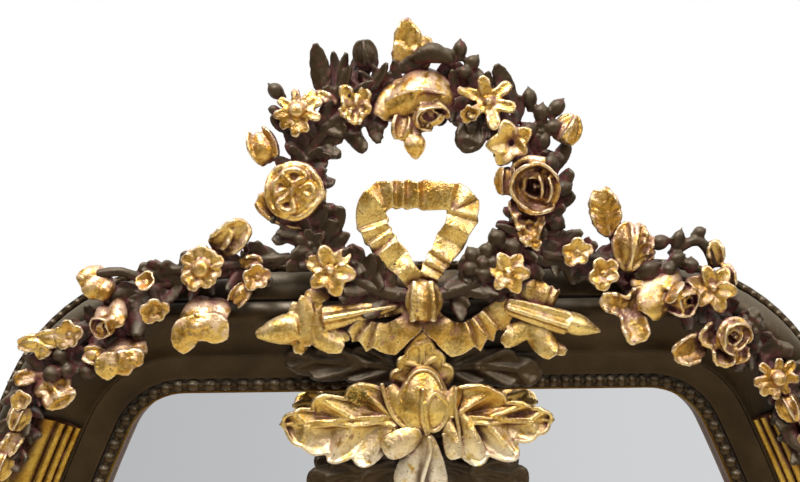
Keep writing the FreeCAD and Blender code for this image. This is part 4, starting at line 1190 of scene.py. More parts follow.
class MIRROR_OT_wreath_flowers(bpy.types.Operator):
    """Carves the smaller gilded flowers, buds, drops and the top leaf of the wreath"""
    bl_idname = "mirror.wreath_flowers"
    bl_label = "Wreath flowers"

    def execute(self, context):
        carve("wreath_daisy", moved(daisy(22, 9), flower_at(-100, 251, 24, turn=-6, up=6, spin=10)),
              "gilding", soften=3)
        small = moved(cup_flower(20, 6, lift=24, tip=0.62, fill=1.6), flower_at(-74, 114, 22, spin=12))
        small += moved(cup_flower(17, 6, lift=26, tip=0.62, fill=1.6), flower_at(80, 110, 22, spin=20))
        small += moved(cup_flower(21, 6, lift=20, bend=-0.3, tip=0.34, fill=1.15),
                       flower_at(65, 257, 22, turn=-8, up=8, spin=8))
        small += leaf((52, 262, 20), (37, 269, 24), 8, **FINGER)
        carve("wreath_small_flowers", small, "gilding", soften=2, rough=1.5)
        bells = moved(cup_flower(18, 5, lift=50, bend=-1.3, tip=0.8, core=0, fill=1.6),
                      flower_at(84, 222, 22, turn=-10, up=-8, spin=14))
        bells += moved(cup_flower(10, 5, lift=60, bend=-0.8, core=0.25),
                       flower_at(50, 249, 24, turn=-20, up=-30))
        jagged = {"base": 0.6, "tip": 0.75, "cup": 0.5, "ruffle": 1.8, "bend": 0.4, "rim": 1.2, "thick": 3.6}
        bells += leaves([(90, 176, 16, 86, 156, 26, 15), (94, 168, 16, 106, 138, 26, 19),
                         (96, 164, 16, 88, 146, 28, 14), (98, 162, 16, 112, 152, 26, 14),
                         (98, 150, 18, 106, 128, 24, 15), (92, 152, 18, 96, 132, 26, 12)], jagged)
        carve("wreath_bell_flowers", bells, "gilding", soften=3)
        buds = leaves([(-50, 242, 18, -61, 274, 26, 14), (-48, 242, 18, -42, 272, 26, 14),
                       (-50, 252, 20, -50, 238, 28, 15), (-54, 256, 20, -63, 246, 26, 12),
                       (-46, 254, 20, -37, 250, 26, 12)], {**CUPPED, "ruffle": 2.0, "waves": 2.5})
        buds += pointing(bud(33, 11, 2, 0.25), -132, 222, 18, -22, 33)
        buds += pointing(bud(28, 11, 4, 0.08), 134, 234, 18, 28, 28)
        buds += pointing(bud(26, 8, 3, 0.3), 80, 189, 22, 4, 26)
        buds += leaf((-66, 258, 20), (-86, 268, 20), 9, **CUPPED)
        carve("wreath_buds", buds, "gilding", soften=3)
        plume = {**FEATHER, "cup": 0.35, "ruffle": 1.2, "rim": 1.4}
        top = leaves([(0, 288, 14, -7, 331, 23, 27), (6, 288, 16, 13, 316, 21, 19),
                      (-6, 288, 12, -15, 310, 20, 16)], plume, 16)
        carve("wreath_top_leaf", top, "gilding", rough=1.5)
        drops = leaf((-8, 250, 22), (-14, 225, 28), 19, base=0.5, tip=0.45, cup=1.2, rim=1.5, bend=-0.4,
                     thick=4.0)
        bead = turned(25, [3, 7, 9.5, 9.5, 7.5, 4.5, 1], flutes=3, depth=0.08, flat=0.8)
        drops += pointing([bead], 1, 219, 30, 180, 25)
        drops.append(stem([(0, 252, 24), (2, 240, 27), (1, 226, 30)], 3.4))
        drops += leaf((4, 250, 24), (10, 232, 30), 10, **CUPPED)
        carve("wreath_drops", drops, "gilding", **FLOWER_CUT)
        return {"FINISHED"}


class MIRROR_OT_wreath_greens(bpy.types.Operator):
    """Carves the dark leaves and berries of the wreath"""
    bl_idname = "mirror.wreath_greens"
    bl_label = "Wreath leaves and berries"

    def execute(self, context):
        left = leaves([(-84, 246, 16, -61, 231, 22, 13), (-62, 238, 16, -42, 216, 22, 14),
                       (-84, 232, 14, -74, 210, 20, 13), (-110, 236, 12, -124, 250, 18, 13),
                       (-112, 226, 12, -92, 208, 20, 13), (-100, 214, 12, -76, 204, 18, 12),
                       (-96, 148, 12, -99, 173, 22, 12), (-84, 146, 14, -82, 175, 24, 13),
                       (-72, 144, 14, -64, 169, 22, 12), (-104, 152, 12, -124, 138, 18, 13),
                       (-66, 132, 14, -47, 109, 22, 13), (-56, 126, 14, -29, 96, 22, 14),
                       (-40, 108, 14, -13, 91, 20, 12), (-86, 120, 12, -114, 116, 18, 14)], FINGER, 38)
        left += leaves([(-78, 264, 14, -85, 311, 22, 18), (-37, 249, 15, -31, 223, 22, 14),
                        (-34, 288, 12, -40, 312, 18, 12)], FEATHER)
        left += leaves([(-68, 272, 10, -70, 306, 12, 12), (-62, 270, 16, -58, 302, 26, 11),
                        (-72, 260, 18, -54, 290, 30, 13), (-52, 268, 12, -36, 300, 14, 12),
                        (-44, 266, 18, -22, 292, 28, 12), (-56, 276, 10, -47, 310, 10, 11),
                        (-60, 256, 22, -34, 276, 30, 12), (-40, 258, 14, -18, 278, 20, 12)], POINTED, 45)
        left += pointing(bud(24, 9, 4, 0.12), -42, 302, 18, -8, 24)
        left += moved(cup_flower(13, 6), flower_at(-92, 136, 18))
        ring_left = [wreath_point(turn) for turn in range(255, 95, -12)]
        left += thicket(ring_left, 54, 3, (18, 32), (20, 95), FINGER)
        left += thicket(ring_left, 54, 5, (16, 30), (30, 110), POINTED)
        carve("wreath_leaves_left", left, "bronzed_compo", step=0.8, soften=3)
        right = leaves([(22, 276, 12, 30, 293, 16, 12), (46, 290, 14, 61, 277, 20, 11),
                        (102, 214, 12, 127, 206, 18, 13), (118, 198, 12, 134, 221, 20, 15),
                        (116, 176, 12, 137, 198, 20, 16), (118, 164, 12, 139, 178, 18, 14),
                        (96, 154, 12, 83, 167, 20, 10), (98, 130, 12, 113, 151, 18, 12),
                        (70, 124, 12, 43, 100, 20, 14), (52, 112, 12, 25, 94, 20, 14),
                        (36, 100, 12, 17, 90, 18, 12), (88, 120, 10, 112, 105, 16, 13)], FINGER, 38)
        right += leaves([(86, 254, 14, 72, 291, 22, 18), (60, 262, 12, 49, 283, 18, 13),
                         (96, 126, 10, 126, 134, 16, 16)], FEATHER)
        right.append(lobed_leaf([(60, 254, 14), (52, 236, 20), (44, 215, 22)],
                                [(68, 248), (66, 232), (60, 234), (58, 220), (44, 215)],
                                [(52, 256), (38, 244), (44, 240), (36, 226), (44, 215)]))
        ring_right = [wreath_point(turn) for turn in range(-75, 90, 12)]
        right += thicket(ring_right, 54, 8, (18, 32), (20, 95), FINGER)
        right += thicket(ring_right, 54, 9, (16, 30), (30, 110), POINTED)
        right += pointing([turned(38, round_radii(9, 0.6), bow=-6, flat=0.7)], 16, 294, 26, 94, 38)
        right += leaf((-14, 288, 16), (14, 300, 26), 16, **FINGER)
        carve("wreath_leaves_right", right, "bronzed_compo", step=0.8, soften=3)
        fruit = berries([(30, 298, 18, -25, 17, 6.5), (41, 304, 18, 0, 18, 6.5), (51, 292, 18, 38, 18, 6.5),
                         (44, 284, 20, 100, 15, 6), (101, 260, 18, -8, 20, 7), (124, 252, 18, 38, 20, 7),
                         (110, 247, 22, 10, 18, 7), (101, 233, 20, -70, 18, 7), (120, 235, 20, 75, 18, 7),
                         (112, 222, 20, 20, 17, 6.5), (118, 203, 20, 10, 20, 8), (128, 181, 18, 60, 20, 8),
                         (122, 153, 18, 120, 18, 8.5), (71, 139, 20, -25, 18, 8), (84, 131, 20, 20, 18, 8),
                         (49, 125, 20, -30, 16, 7), (61, 128, 20, 20, 16, 7), (47, 113, 20, -110, 16, 7),
                         (58, 109, 22, 180, 16, 7), (68, 118, 20, 80, 15, 6.5), (58, 118, 25, 0, 10, 5),
                         (-120, 270, 16, -45, 18, 7), (-122, 254, 16, -80, 11, 4.5),
                         (-100, 140, 20, -60, 14, 6)])
        for x, rise in ((40, 286), (110, 240), (118, 160), (78, 130), (58, 118), (-110, 258)):
            fruit.append(stem([(x, rise, 18), (x * 0.96, rise * 0.97 + 4, 14)], 4))
        carve("wreath_berries", fruit, "bronzed_compo", soften=3)
        return {"FINISHED"}


class MIRROR_OT_bow(bpy.types.Operator):
    """Carves the pleated ribbon, the torch and the quiver"""
    bl_idname = "mirror.bow"
    bl_label = "Ribbon, torch and quiver"

    def execute(self, context):
        loop = [(4, 92), (-4, 108), (-22, 128), (-36, 147), (-40, 168), (-30, 179), (5, 178), (38, 176),
                (45, 164), (29, 134), (12, 110), (8, 92)]
        band = ribbon(loop, 25, 7.0, 16, 18, ends=(0.6, 0.9, 1.1, 1, 1, 1.1, 0.9, 0.6), wobble=0.1)
        carve("ribbon_loop", [band], "gilding.bright", **RIBBON_CUT)
        knot = [turned(38, [7, 12, 15, 16, 15, 12, 6], flutes=7, depth=0.16, flat=0.85)]
        knot += [stem([(-9, 2, 9), (-10, 20, 13), (-7, 36, 7)], 3.4),
                 stem([(8, 2, 9), (9, 20, 13), (6, 36, 7)], 3.4)]
        carve("ribbon_knot", moved(knot, Matrix.Translation((6, 67, 20))), "gilding.bright", soften=2)
        left = [ribbon([(4, 80), (-5, 62), (-23, 52), (-42, 55), (-55, 66)], 24, 8, 17, 12,
                       ends=(0.6, 1.1, 1.1, 0.9), wobble=0.3, hem=-1),
                ribbon([(2, 84), (-20, 78), (-40, 74)], 12, 5, 10, 8, ends=(0.6, 1, 0.8))]
        carve("ribbon_tails_left", left, "gilding.bright", **RIBBON_CUT)
        right = [ribbon([(9, 80), (16, 62), (31, 51), (50, 54), (68, 68), (84, 83)], 25, 8, 17, 12,
                        ends=(0.6, 1.1, 1.1, 1, 0.9), wobble=0.3, hem=1),
                 ribbon([(82, 84), (100, 94), (123, 84)], 21, 6, 11, 12, ends=(0.7, 1.1, 0.9), wobble=0.15)]
        fold = {"base": 0.4, "tip": 0.4, "cup": -0.7, "bend": -0.4, "ruffle": 2.2, "waves": 1.4, "thick": 3.0}
        right += leaves([(102, 66, 10, 75, 46, 16, 20), (100, 66, 12, 119, 35, 18, 24),
                         (110, 48, 10, 132, 38, 10, 13)], fold)
        carve("ribbon_tails_right", right, "gilding.bright", **RIBBON_CUT)
        torch = moved([turned(72, [2, 4.5, 6.5, 8, 9, 9.5], flutes=4, depth=0.25)],
                      leaf_at((-14, 82, 14), (-86, 70, 14)))
        torch += leaves([(-98, 92, 14, -96, 46, 16, 18), (-106, 86, 11, -107, 50, 13, 15),
                         (-88, 88, 11, -87, 54, 14, 16), (-98, 90, 12, -76, 92, 12, 16),
                         (-96, 58, 13, -64, 44, 14, 20), (-88, 58, 11, -58, 54, 11, 14),
                         (-100, 56, 13, -104, 40, 14, 15)], fold)
        torch += moved([turned(42, [10, 12.5, 13, 11.5, 9, 6, 2.5], flutes=2, depth=0.08, flat=0.85)],
                       leaf_at((-101, 64, 13), (-143, 57, 13)))
        carve("torch", torch, "gilding.bright", **EMBLEM_CUT)
        quiver = moved([turned(62, [6, 7.5, 8, 8.5, 9, 9.5, 10, 9], flutes=5, depth=0.22, segments=40)],
                       leaf_at((76, 82, 15), (135, 64, 15)))
        quiver += moved([turned(36, [7, 9.8, 10, 9, 6.5, 3.5, 1], segments=32)],
                        leaf_at((128, 67, 15), (163, 56, 15)))
        carve("quiver", quiver, "gilding.bright", **EMBLEM_CUT)
        return {"FINISHED"}


# Tulip bud on the centre leaf: radii from its foot to its top, and the ridges that edge its petals
TULIP = (4, 15, 21, 24, 24, 22, 18, 13, 4)
TULIP_FLAT = 0.55
TULIP_RIDGES = (
    ([(-9, 14), (-17, 4), (-16, -12), (-4, -27), (4, -33)], 1.9),
    ([(15, 6), (26, 0), (27, -14), (20, -27), (10, -29), (7, -14), (8, 0), (15, 6)], 1.9),
    ([(-11, 8), (-8, 20), (5, 27), (18, 21), (22, 8)], 1.2),
    ([(5, 10), (3, -8), (5, -22), (9, -33)], 2.4),
    ([(-31, 14), (-26, -10), (-12, -26), (2, -33)], 2.1),
    ([(34, 10), (32, -7), (36, -26), (37, -46), (31, -52), (27, -44), (22, -30)], 2.1))


def tulip_front(x, rise):
    """Front of the tulip bud at a place of the crest."""
    share = min(max((rise + 36) / 66, 0), 1)
    radius = np.interp(share, np.linspace(0, 1, len(TULIP)), TULIP)
    return max(11 + TULIP_FLAT * math.sqrt(max(radius ** 2 - (x - 5 - share) ** 2, 0)), 17)


class MIRROR_OT_centre_leaf(bpy.types.Operator):
    """Carves the large leaf on the top rail, its bud and the dark leaves behind it"""
    bl_idname = "mirror.centre_leaf"
    bl_label = "Centre leaf"

    def execute(self, context):
        cut = {"pocket": 6.0, "vein": 2.4, "rim": 2.4, "curl": 2.0, "bulge": 0.2, "thick": 3.4}
        gold = [
            lobed_leaf([(-4, -20, 12), (-30, -18, 12), (-75, -21, 9), (-122, -23, 7)],
                       [(-22, 4), (-56, 13), (-63, 0), (-89, 2), (-92, -10), (-109, -12), (-120, -23)],
                       [(-22, -40), (-46, -60), (-58, -51), (-79, -55), (-80, -48), (-102, -42), (-120, -23)],
                       **cut),
            lobed_leaf([(12, -20, 12), (38, -18, 12), (78, -21, 9), (121, -22, 7)],
                       [(28, 6), (70, 6), (79, -5), (97, -7), (102, -11), (112, -13), (119, -22)],
                       [(28, -40), (50, -60), (62, -51), (88, -54), (86, -39), (106, -34), (119, -22)],
                       **cut)]
        gold.append(lobed_leaf([(4, -4, 4), (5, 26, 8), (6, 57, 12)],
                               [(-14, 4), (-24, 19), (-15, 25), (-17, 33), (-9, 36), (-6, 46), (6, 57)],
                               [(22, 4), (33, 23), (24, 29), (23, 39), (15, 41), (13, 50), (6, 57)],
                               pocket=1.2, vein=1.6, rim=1.8, curl=0.5, bulge=0.2, thick=4.0))
        smooth = {"base": 0.5, "tip": 0.3, "cup": -0.9, "rim": 1.6, "bend": -0.5, "thick": 3.6, "rows": 26}
        gold += leaves([(4, -36, 14, -12, -84, 12, 32), (8, -30, 16, 18, -88, 12, 24),
                        (3, -28, 18, -30, -46, 19, 27), (26, -20, 15, 33, -53, 18, 19),
                        (38, -14, 13, 57, -59, 12, 17), (-2, -82, 8, -2, -100, 8, 26)], smooth, 4)
        gold.append(stem([(9, -31, 25), (12, -41, 26), (7, -56, 24), (2, -74, 20), (3, -94, 16)], 2.6, 0.8))
        carve("crest_leaf", gold, "gilding.leaf", **CENTRE_CUT)
        petal = {"base": 0.42, "tip": 0.36, "cup": -1.1, "bend": -0.7, "rim": 2.0, "thick": 3.0, "rows": 26}
        heart = leaves([(2, -34, 12, -25, 12, 14, 20), (18, -30, 12, 36, 10, 14, 18)], petal, 4)
        heart += moved([turned(66, TULIP, flat=TULIP_FLAT, segments=40, rings=30)],
                       leaf_at((5, -36, 10), (6, 30, 10)))
        for points, radius in TULIP_RIDGES:
            heart.append(stem([(x, rise, tulip_front(x, rise)) for x, rise in points], radius))
        carve("crest_leaf_bud", heart, "gilding.leaf", **CENTRE_CUT)
        dark = {"pocket": 3.5, "vein": 2.4, "rim": 1.0, "curl": 2.0, "thick": 5.0}
        upper = [lobed_leaf([(-4, 22, -6), (-40, 28, -4), (-118, 34, -4)],
                            [(-8, 40), (-48, 45), (-58, 40), (-82, 46), (-90, 40), (-108, 43), (-118, 34)],
                            [(-8, 10), (-58, 11), (-64, 15), (-90, 14), (-96, 19), (-113, 24), (-118, 34)],
                            **dark),
                 lobed_leaf([(10, 22, -6), (50, 26, -4), (111, 19, -4)],
                            [(14, 38), (53, 43), (63, 38), (83, 40), (91, 33), (105, 30), (111, 19)],
                            [(14, 8), (52, 8), (62, 11), (82, 6), (89, 10), (101, 7), (111, 19)], **dark)]
        carve("backing_leaves_upper", upper, "bronzed_compo.flat", soften=3)
        spine = [(4, -56, -6), (46, -66, -4), (98, -76, -4)]
        top = [(8, -42), (40, -48), (52, -54), (74, -58), (80, -64), (94, -66), (98, -76)]
        low = [(8, -96), (36, -106), (46, -96), (66, -100), (72, -90), (92, -90), (98, -76)]
        lower = []
        for side in (-1, 1):
            vein, one, other = ([(side * x, *rest) for x, *rest in line] for line in (spine, top, low))
            lower.append(lobed_leaf(vein, one, other, **dark))
        carve("backing_leaves_lower", lower, "bronzed_compo.flat", soften=3)
        return {"FINISHED"}


class MIRROR_OT_garland_left(bpy.types.Operator):
    """Carves the flowers and leaves of the left garland"""
    bl_idname = "mirror.garland_left"
    bl_label = "Left garland"

    def execute(self, context):
        roses = moved(rose(15, [(4, 1.2, 1.3, 30, 1.2, 0), (3, 1.0, 1.1, 50, 1.0, 40)], 0.3),
                      flower_at(-267, 71, 20, turn=-20, up=-25))
        roses += leaf((-262, 90, 12), (-256, 66, 30), 17, **SHELL)
        roses += leaf((-276, 84, 12), (-268, 62, 28), 16, **SHELL)
        carve("garland_roses_left", roses, "gilding.rosy", **FLOWER_CUT)
        spade = {"base": 0.55, "tip": 0.6, "cup": -0.4, "rim": 1.2, "rib": 1.6, "bend": -0.3, "ruffle": 0.8,
                 "thick": 4.0}
        lilies = leaves([(-192, 90, 8, -188, 64, 34, 44), (-178, 88, 8, -172, 68, 28, 30)], SHELL)
        lilies += leaves([(-194, 76, 30, -203, 44, 30, 25), (-182, 76, 30, -165, 54, 30, 27),
                          (-188, 78, 30, -184, 54, 32, 22)], spade)
        lilies += leaves([(-254, 56, 8, -262, 32, 30, 30), (-246, 54, 8, -244, 36, 26, 22)], SHELL)
        lilies += leaves([(-264, 46, 27, -269, 22, 28, 23), (-256, 47, 28, -251, 25, 29, 25),
                          (-248, 47, 26, -239, 33, 26, 18)], spade)
        lilies += pointing(bud(20, 8, 2, 0.2), -281, 43, 20, -80, 20)
        carve("garland_lilies_left", lilies, "gilding.rosy", **FLOWER_CUT)
        daisies = moved(daisy(19.5, 11, 0.42, fill=1.9), flower_at(-185, 116, 24, up=4))
        daisies += moved(cup_flower(11, 5, fill=1.8), flower_at(-138, 108, 22, turn=15))
        daisies += moved(cup_flower(12, 5, fill=1.8), flower_at(-300, 60, 20, turn=-12))
        daisies += moved(cup_flower(10, 5, lift=55, fill=1.8), flower_at(-341, 4, 20, turn=-14))
        carve("garland_daisies_left", daisies, "gilding.rosy", **FLOWER_CUT)
        buds = pointing(bud(24, 6.5, 2, 0.3), -153, 93, 20, -143, 24)
        buds += moved(cup_flower(10, 4, lift=58, fill=1.9), flower_at(-233, 104, 20, turn=-10, up=20))
        buds += moved(cup_flower(12, 5, lift=48, fill=1.8), flower_at(-226, 82, 22, turn=10, up=-20))
        buds += leaves([(-270, 112, 10, -287, 94, 22, 22), (-274, 116, 10, -294, 106, 20, 17),
                        (-268, 108, 12, -276, 90, 20, 16)], SHELL)
        buds += pointing(bud(24, 8, 2), -320, 57, 18, -80, 24)
        buds += pointing(bud(22, 8, 2), -337, 53, 18, -95, 22)
        buds += pointing(bud(16, 6, 2), -325, 45, 18, -130, 16)
        buds += pointing(bud(24, 9), -348, -12, 18, -160, 24)
        buds += pointing(bud(28, 9), -364, -54, 18, -165, 28)
        carve("garland_buds_left", buds, "gilding.rosy", **FLOWER_CUT)
        gold = leaves([(-174, 130, 12, -145, 156, 22, 28), (-178, 134, 12, -160, 150, 24, 18),
                       (-156, 120, 12, -133, 124, 20, 12), (-334, 24, 12, -352, 20, 18, 15),
                       (-346, -24, 12, -362, -46, 18, 16)], CUPPED)
        gold.append(lobed_leaf([(-330, 28, 10), (-316, 12, 18), (-308, -2, 22)],
                               [(-336, 20), (-334, 6), (-326, 8), (-322, -3), (-308, -2)],
                               [(-320, 30), (-303, 22), (-305, 14), (-296, 10), (-308, -2)]))
        carve("garland_gold_leaves_left", gold, "gilding.rosy", rough=1.5, soften=3)
        dark = leaves([(-242, 84, 10, -243, 58, 22, 14), (-298, 40, 10, -320, 24, 16, 15),
                       (-120, 122, 10, -146, 132, 16, 16), (-250, 100, 8, -268, 92, 14, 14),
                       (-360, -16, 10, -370, -44, 16, 18), (-150, 116, 10, -126, 102, 16, 14),
                       (-204, 104, 8, -222, 122, 16, 13), (-214, 108, 8, -244, 118, 12, 14)], FINGER)
        dark += berries([(-287, 27, 16, -100, 17, 8), (-244, 58, 14, 190, 13, 6), (-310, 42, 18, -20, 14, 7),
                         (-318, 26, 18, 60, 15, 8), (-304, 28, 18, 100, 13, 7)])
        dark += [stem([(-236, 102, 8), (-250, 113, 14), (-266, 115, 16), (-278, 112, 16)], 4.4),
                 stem([(-232, 98, 10), (-229, 92, 16), (-226, 84, 18)], 4),
                 stem([(-262, 82, 8), (-276, 92, 12), (-284, 96, 14)], 3)]
        dark += twig([(-110, 125, 10), (-140, 122, 14), (-168, 118, 12), (-196, 116, 14), (-222, 114, 10),
                      (-244, 108, 8)], 4.2, 3)
        dark += thicket(STEM_LEFT[1:], 60, 12, (16, 30), (20, 110), POINTED)
        dark += thicket(STEM_LEFT[1:], 40, 13, (14, 26), (30, 120), FINGER)
        carve("garland_dark_leaves_left", dark, "bronzed_compo", soften=3)
        return {"FINISHED"}


class MIRROR_OT_garland_right(bpy.types.Operator):
    """Carves the flowers and leaves of the right garland"""
    bl_idname = "mirror.garland_right"
    bl_label = "Right garland"

    def execute(self, context):
        layers = [(6, 1.25, 1.3, 22, 1.6, 0), (5, 0.95, 1.0, 42, 1.4, 40), (3, 0.7, 0.7, 55, 1.0, 10)]
        roses = moved(rose(19, layers, 0.2), flower_at(223, 88, 20, turn=24, up=-14))
        roses += leaves([(226, 113, 10, 197, 71, 30, 38), (206, 108, 10, 190, 93, 22, 20),
                         (228, 112, 10, 216, 92, 30, 26)], {**SHELL, "bend": -0.9})
        roses += moved(rolled_rose(17), flower_at(271, 53, 20, turn=10, up=-6))
        roses += leaves([(262, 58, 12, 244, 48, 26, 22), (268, 44, 14, 262, 26, 26, 24),
                         (278, 46, 14, 280, 28, 24, 18)], CUPPED)
        carve("garland_roses_right", roses, "gilding.rosy", **FLOWER_CUT)
        lilies = leaves([(186, 78, 14, 159, 86, 24, 20), (184, 80, 14, 192, 47, 26, 25),
                         (186, 76, 14, 197, 96, 24, 18)], {**CUPPED, "tip": 0.3, "ruffle": 2.0})
        lilies += leaves([(252, 48, 12, 221, 36, 24, 28)], CUPPED)
        carve("garland_lilies_right", lilies, "gilding.rosy", rough=1.5, soften=3)
        daisies = moved(cup_flower(12, 5, fill=1.7), flower_at(141, 126, 20, turn=-10))
        daisies += moved(cup_flower(13, 5, fill=1.7), flower_at(163, 108, 22, spin=30))
        daisies += moved(cup_flower(19, 6, lift=28, tip=0.6), flower_at(256, 94, 22, spin=16))
        daisies += moved(daisy(20, 8), flower_at(311, 15, 22, turn=6))
        carve("garland_daisies_right", daisies, "gilding.rosy", **FLOWER_CUT)
        buds = pointing(bud(44, 13, 4, 0.1), 186, 130, 20, 188, 44)
        buds += leaves([(190, 122, 22, 205, 140, 22, 14), (188, 128, 26, 196, 150, 24, 14),
                        (194, 118, 18, 207, 128, 18, 12)], {**CUPPED, "ruffle": 1.6, "cup": 0.5})
        buds += pointing(bud(26, 9), 324, -12, 18, 160, 26)
        buds += pointing(bud(28, 9), 342, -46, 18, 165, 28)
        carve("garland_buds_right", buds, "gilding.rosy", **FLOWER_CUT)
        gold = leaves([(171, 140, 14, 161, 182, 18, 27)],
                      {**CUPPED, "veins": 5, "rib": 4.0, "cup": 0.3, "vein": 2.6, "rows": 40})
        gold += leaves([(264, 112, 12, 259, 136, 18, 16), (274, 88, 12, 270, 115, 18, 14),
                        (332, -10, 12, 346, -34, 18, 16)], CUPPED)
        carve("garland_gold_leaves_right", gold, "gilding.rosy", rough=1.3, soften=3)
        dark = leaves([(104, 118, 10, 146, 145, 18, 20), (100, 126, 10, 130, 146, 16, 14),
                       (108, 116, 8, 136, 128, 14, 14)], FEATHER)
        dark += leaves([(228, 104, 8, 196, 116, 16, 18), (238, 82, 12, 236, 56, 22, 11),
                        (284, 44, 8, 281, 20, 18, 15), (288, 42, 8, 330, 38, 16, 17),
                        (322, -20, 12, 334, -48, 18, 16), (284, 50, 8, 300, 40, 18, 16)], FINGER)
        dark += berries([(213, 134, 16, 70, 19, 7), (229, 136, 16, 20, 20, 5.5), (248, 142, 16, 60, 13, 5.5),
                         (227, 119, 18, 60, 17, 6.5), (201, 110, 20, 60, 23, 9), (219, 110, 20, 80, 15, 7),
                         (239, 114, 20, 0, 14, 7)])
        for k in range(SEEDS):
            height = 1 - 2 * (k + 0.5) / SEEDS
            reach = 8 * math.sqrt(1 - height * height)
            place = (293 + reach * math.cos(2.4 * k), 59 + 12 * height, 16 + reach * math.sin(2.4 * k))
            dark += moved([turned(7, round_radii(3.5, 0.5), segments=10, rings=8)], Matrix.Translation(place))
        dark += [stem([(224, 122, 10), (236, 133, 16), (248, 136, 18), (257, 126, 16), (262, 112, 12)], 4.6),
                 stem([(176, 118, 8), (180, 130, 12), (172, 142, 12)], 4),
                 stem([(146, 118, 8), (160, 114, 14), (176, 108, 10)], 4)]
        dark += twig([(110, 126, 12), (134, 120, 14), (156, 122, 12), (180, 116, 14), (206, 104, 12),
                      (236, 100, 10)], 4.2, 3)
        dark += thicket(STEM_RIGHT[1:], 60, 14, (16, 30), (20, 110), POINTED)
        dark += thicket(STEM_RIGHT[1:], 40, 15, (14, 26), (30, 120), FINGER)
        carve("garland_dark_leaves_right", dark, "bronzed_compo", soften=3)
        return {"FINISHED"}


# Lamps of the stage: name, place, aim, size and power
LAMPS = (
    ("key", (-0.45, -1.1, 2.9), (0, 0, 1.2), 0.9, 42),
    ("fill", (1.3, -1.4, 2.0), (0, 0, 1.2), 0.6, 10),
    ("back", (0.4, 2.0, 2.4), (0, 0, 0.9), 1.4, 12))

# Floor and camera: metres, millimetres of lens and degrees of roll
FLOOR_SIZE = 3.2
LENS = 37.8
CAMERA_PLACE = (-0.0135, -0.804, (SIGHT_TOP + 138) * MM)
CAMERA_ROLL = -0.7


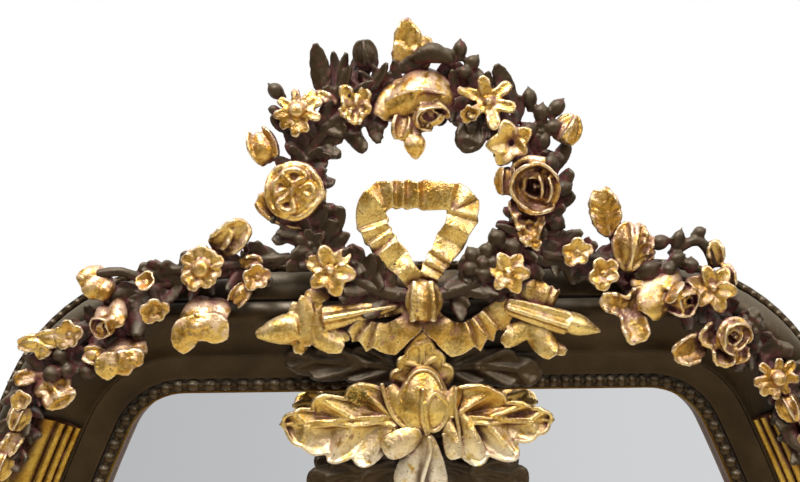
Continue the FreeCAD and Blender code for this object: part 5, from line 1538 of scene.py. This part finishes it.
class MIRROR_OT_stage(bpy.types.Operator):
    """Sets the floor, the surroundings, the lamps and the camera"""
    bl_idname = "mirror.stage"
    bl_label = "Stage"

    def execute(self, context):
        scene = context.scene
        scene.view_settings.view_transform = "Standard"
        deselect()
        bpy.ops.mesh.primitive_plane_add(size=FLOOR_SIZE, location=(0, 0, CAD_BOX[0].z - 0.001))
        floor = bpy.context.object
        floor.name = "studio_floor"
        material = bpy.data.materials.new("studio_floor")
        look = Shading(material)
        pale = look.blend(look.noise(look.place(), 1.2), (0.72, 0.72, 0.72), (0.76, 0.76, 0.76))
        look.surface({"Roughness": 0.7}, Base_Color=pale)
        floor.data.materials.append(material)
        self.surroundings(scene)
        for name, place, aim, size, power in LAMPS:
            lamp = bpy.data.lights.new(name, "AREA")
            lamp.size = size
            lamp.energy = power
            light = bpy.data.objects.new(name, lamp)
            light.location = place
            light.rotation_euler = (Vector(aim) - Vector(place)).to_track_quat("-Z", "Y").to_euler()
            scene.collection.objects.link(light)
        camera = bpy.data.cameras.new("camera")
        camera.sensor_width = 36
        camera.lens = LENS
        view = bpy.data.objects.new("camera", camera)
        view.location = CAMERA_PLACE
        view.rotation_euler = (Matrix.Rotation(math.radians(90), 3, "X")
                               @ Matrix.Rotation(math.radians(CAMERA_ROLL), 3, "Z")).to_euler()
        scene.collection.objects.link(view)
        scene.camera = view
        return {"FINISHED"}

    def surroundings(self, scene):
        """White behind the object, a softly graded studio in front of it."""
        world = bpy.data.worlds.new("studio")
        scene.world = world
        look = Shading(world)
        seen = look.node("ShaderNodeLightPath", output="Is Camera Ray")
        shiny = look.node("ShaderNodeLightPath", output="Is Glossy Ray")
        clear = look.node("ShaderNodeLightPath", output="Is Transmission Ray")
        way = look.node("ShaderNodeTexCoord", output="Generated")
        right = look.node("ShaderNodeSeparateXYZ", None, {0: way}, output="X")
        back = look.node("ShaderNodeSeparateXYZ", None, {0: way}, output="Y")
        up = look.node("ShaderNodeSeparateXYZ", None, {0: way}, output="Z")
        room = look.blend(look.ramp(up, 0.1, 0.75), (0.10, 0.095, 0.09), (0.90, 0.89, 0.87))
        room = look.blend(look.ramp(up, -0.25, -0.5), room, (0.95, 0.94, 0.92))
        card = look.blend(look.ramp(right, -0.4, 0.4), (0.56, 0.56, 0.565), (0.76, 0.76, 0.765))
        room = look.blend(look.ramp(back, -0.84, -0.9) * look.ramp(up, 0.0, -0.1), room, card)
        behind = look.ramp(back, 0.0, 0.4)
        share = seen + (1 - seen) * (shiny + clear) * behind
        colour = look.blend(share, room, (1.0, 1.0, 1.0))
        backdrop = look.tree.nodes["Background"]
        feed(look.tree, backdrop.inputs["Color"], colour)


class MIRROR_PT_pieces(bpy.types.Panel):
    """Lists the steps in the sidebar"""
    bl_label = "Crested mirror"
    bl_idname = "MIRROR_PT_pieces"
    bl_space_type = "VIEW_3D"
    bl_region_type = "UI"
    bl_category = "Mirror"

    def draw(self, context):
        for name in ("inner_pitch", "outer_pitch", "carving_step", "grit"):
            self.layout.prop(context.scene.mirror_sizes, name)
        for name in ("gold", "bole", "bronze", "dust_and_top_light", "silver", "pine"):
            self.layout.prop(context.scene.mirror_colours, name)
        for step in STEPS:
            self.layout.operator(step.bl_idname)


STEPS = (MIRROR_OT_finishes, MIRROR_OT_frame, MIRROR_OT_beads, MIRROR_OT_back, MIRROR_OT_branches,
         MIRROR_OT_wreath_roses, MIRROR_OT_wreath_flowers, MIRROR_OT_wreath_greens, MIRROR_OT_bow,
         MIRROR_OT_centre_leaf, MIRROR_OT_garland_left, MIRROR_OT_garland_right, MIRROR_OT_stage)
CLASSES = (MirrorSizes, MirrorColours) + STEPS + (MIRROR_PT_pieces,)


def register():
    for kind in CLASSES:
        bpy.utils.register_class(kind)
    bpy.types.Scene.mirror_sizes = bpy.props.PointerProperty(type=MirrorSizes)
    bpy.types.Scene.mirror_colours = bpy.props.PointerProperty(type=MirrorColours)


def unregister():
    del bpy.types.Scene.mirror_colours
    del bpy.types.Scene.mirror_sizes
    for kind in reversed(CLASSES):
        bpy.utils.unregister_class(kind)


def main():
    register()
    deselect()
    for step in STEPS:
        group, name = step.bl_idname.split(".")
        getattr(getattr(bpy.ops, group), name)()


if __name__ == "__main__":
    main()
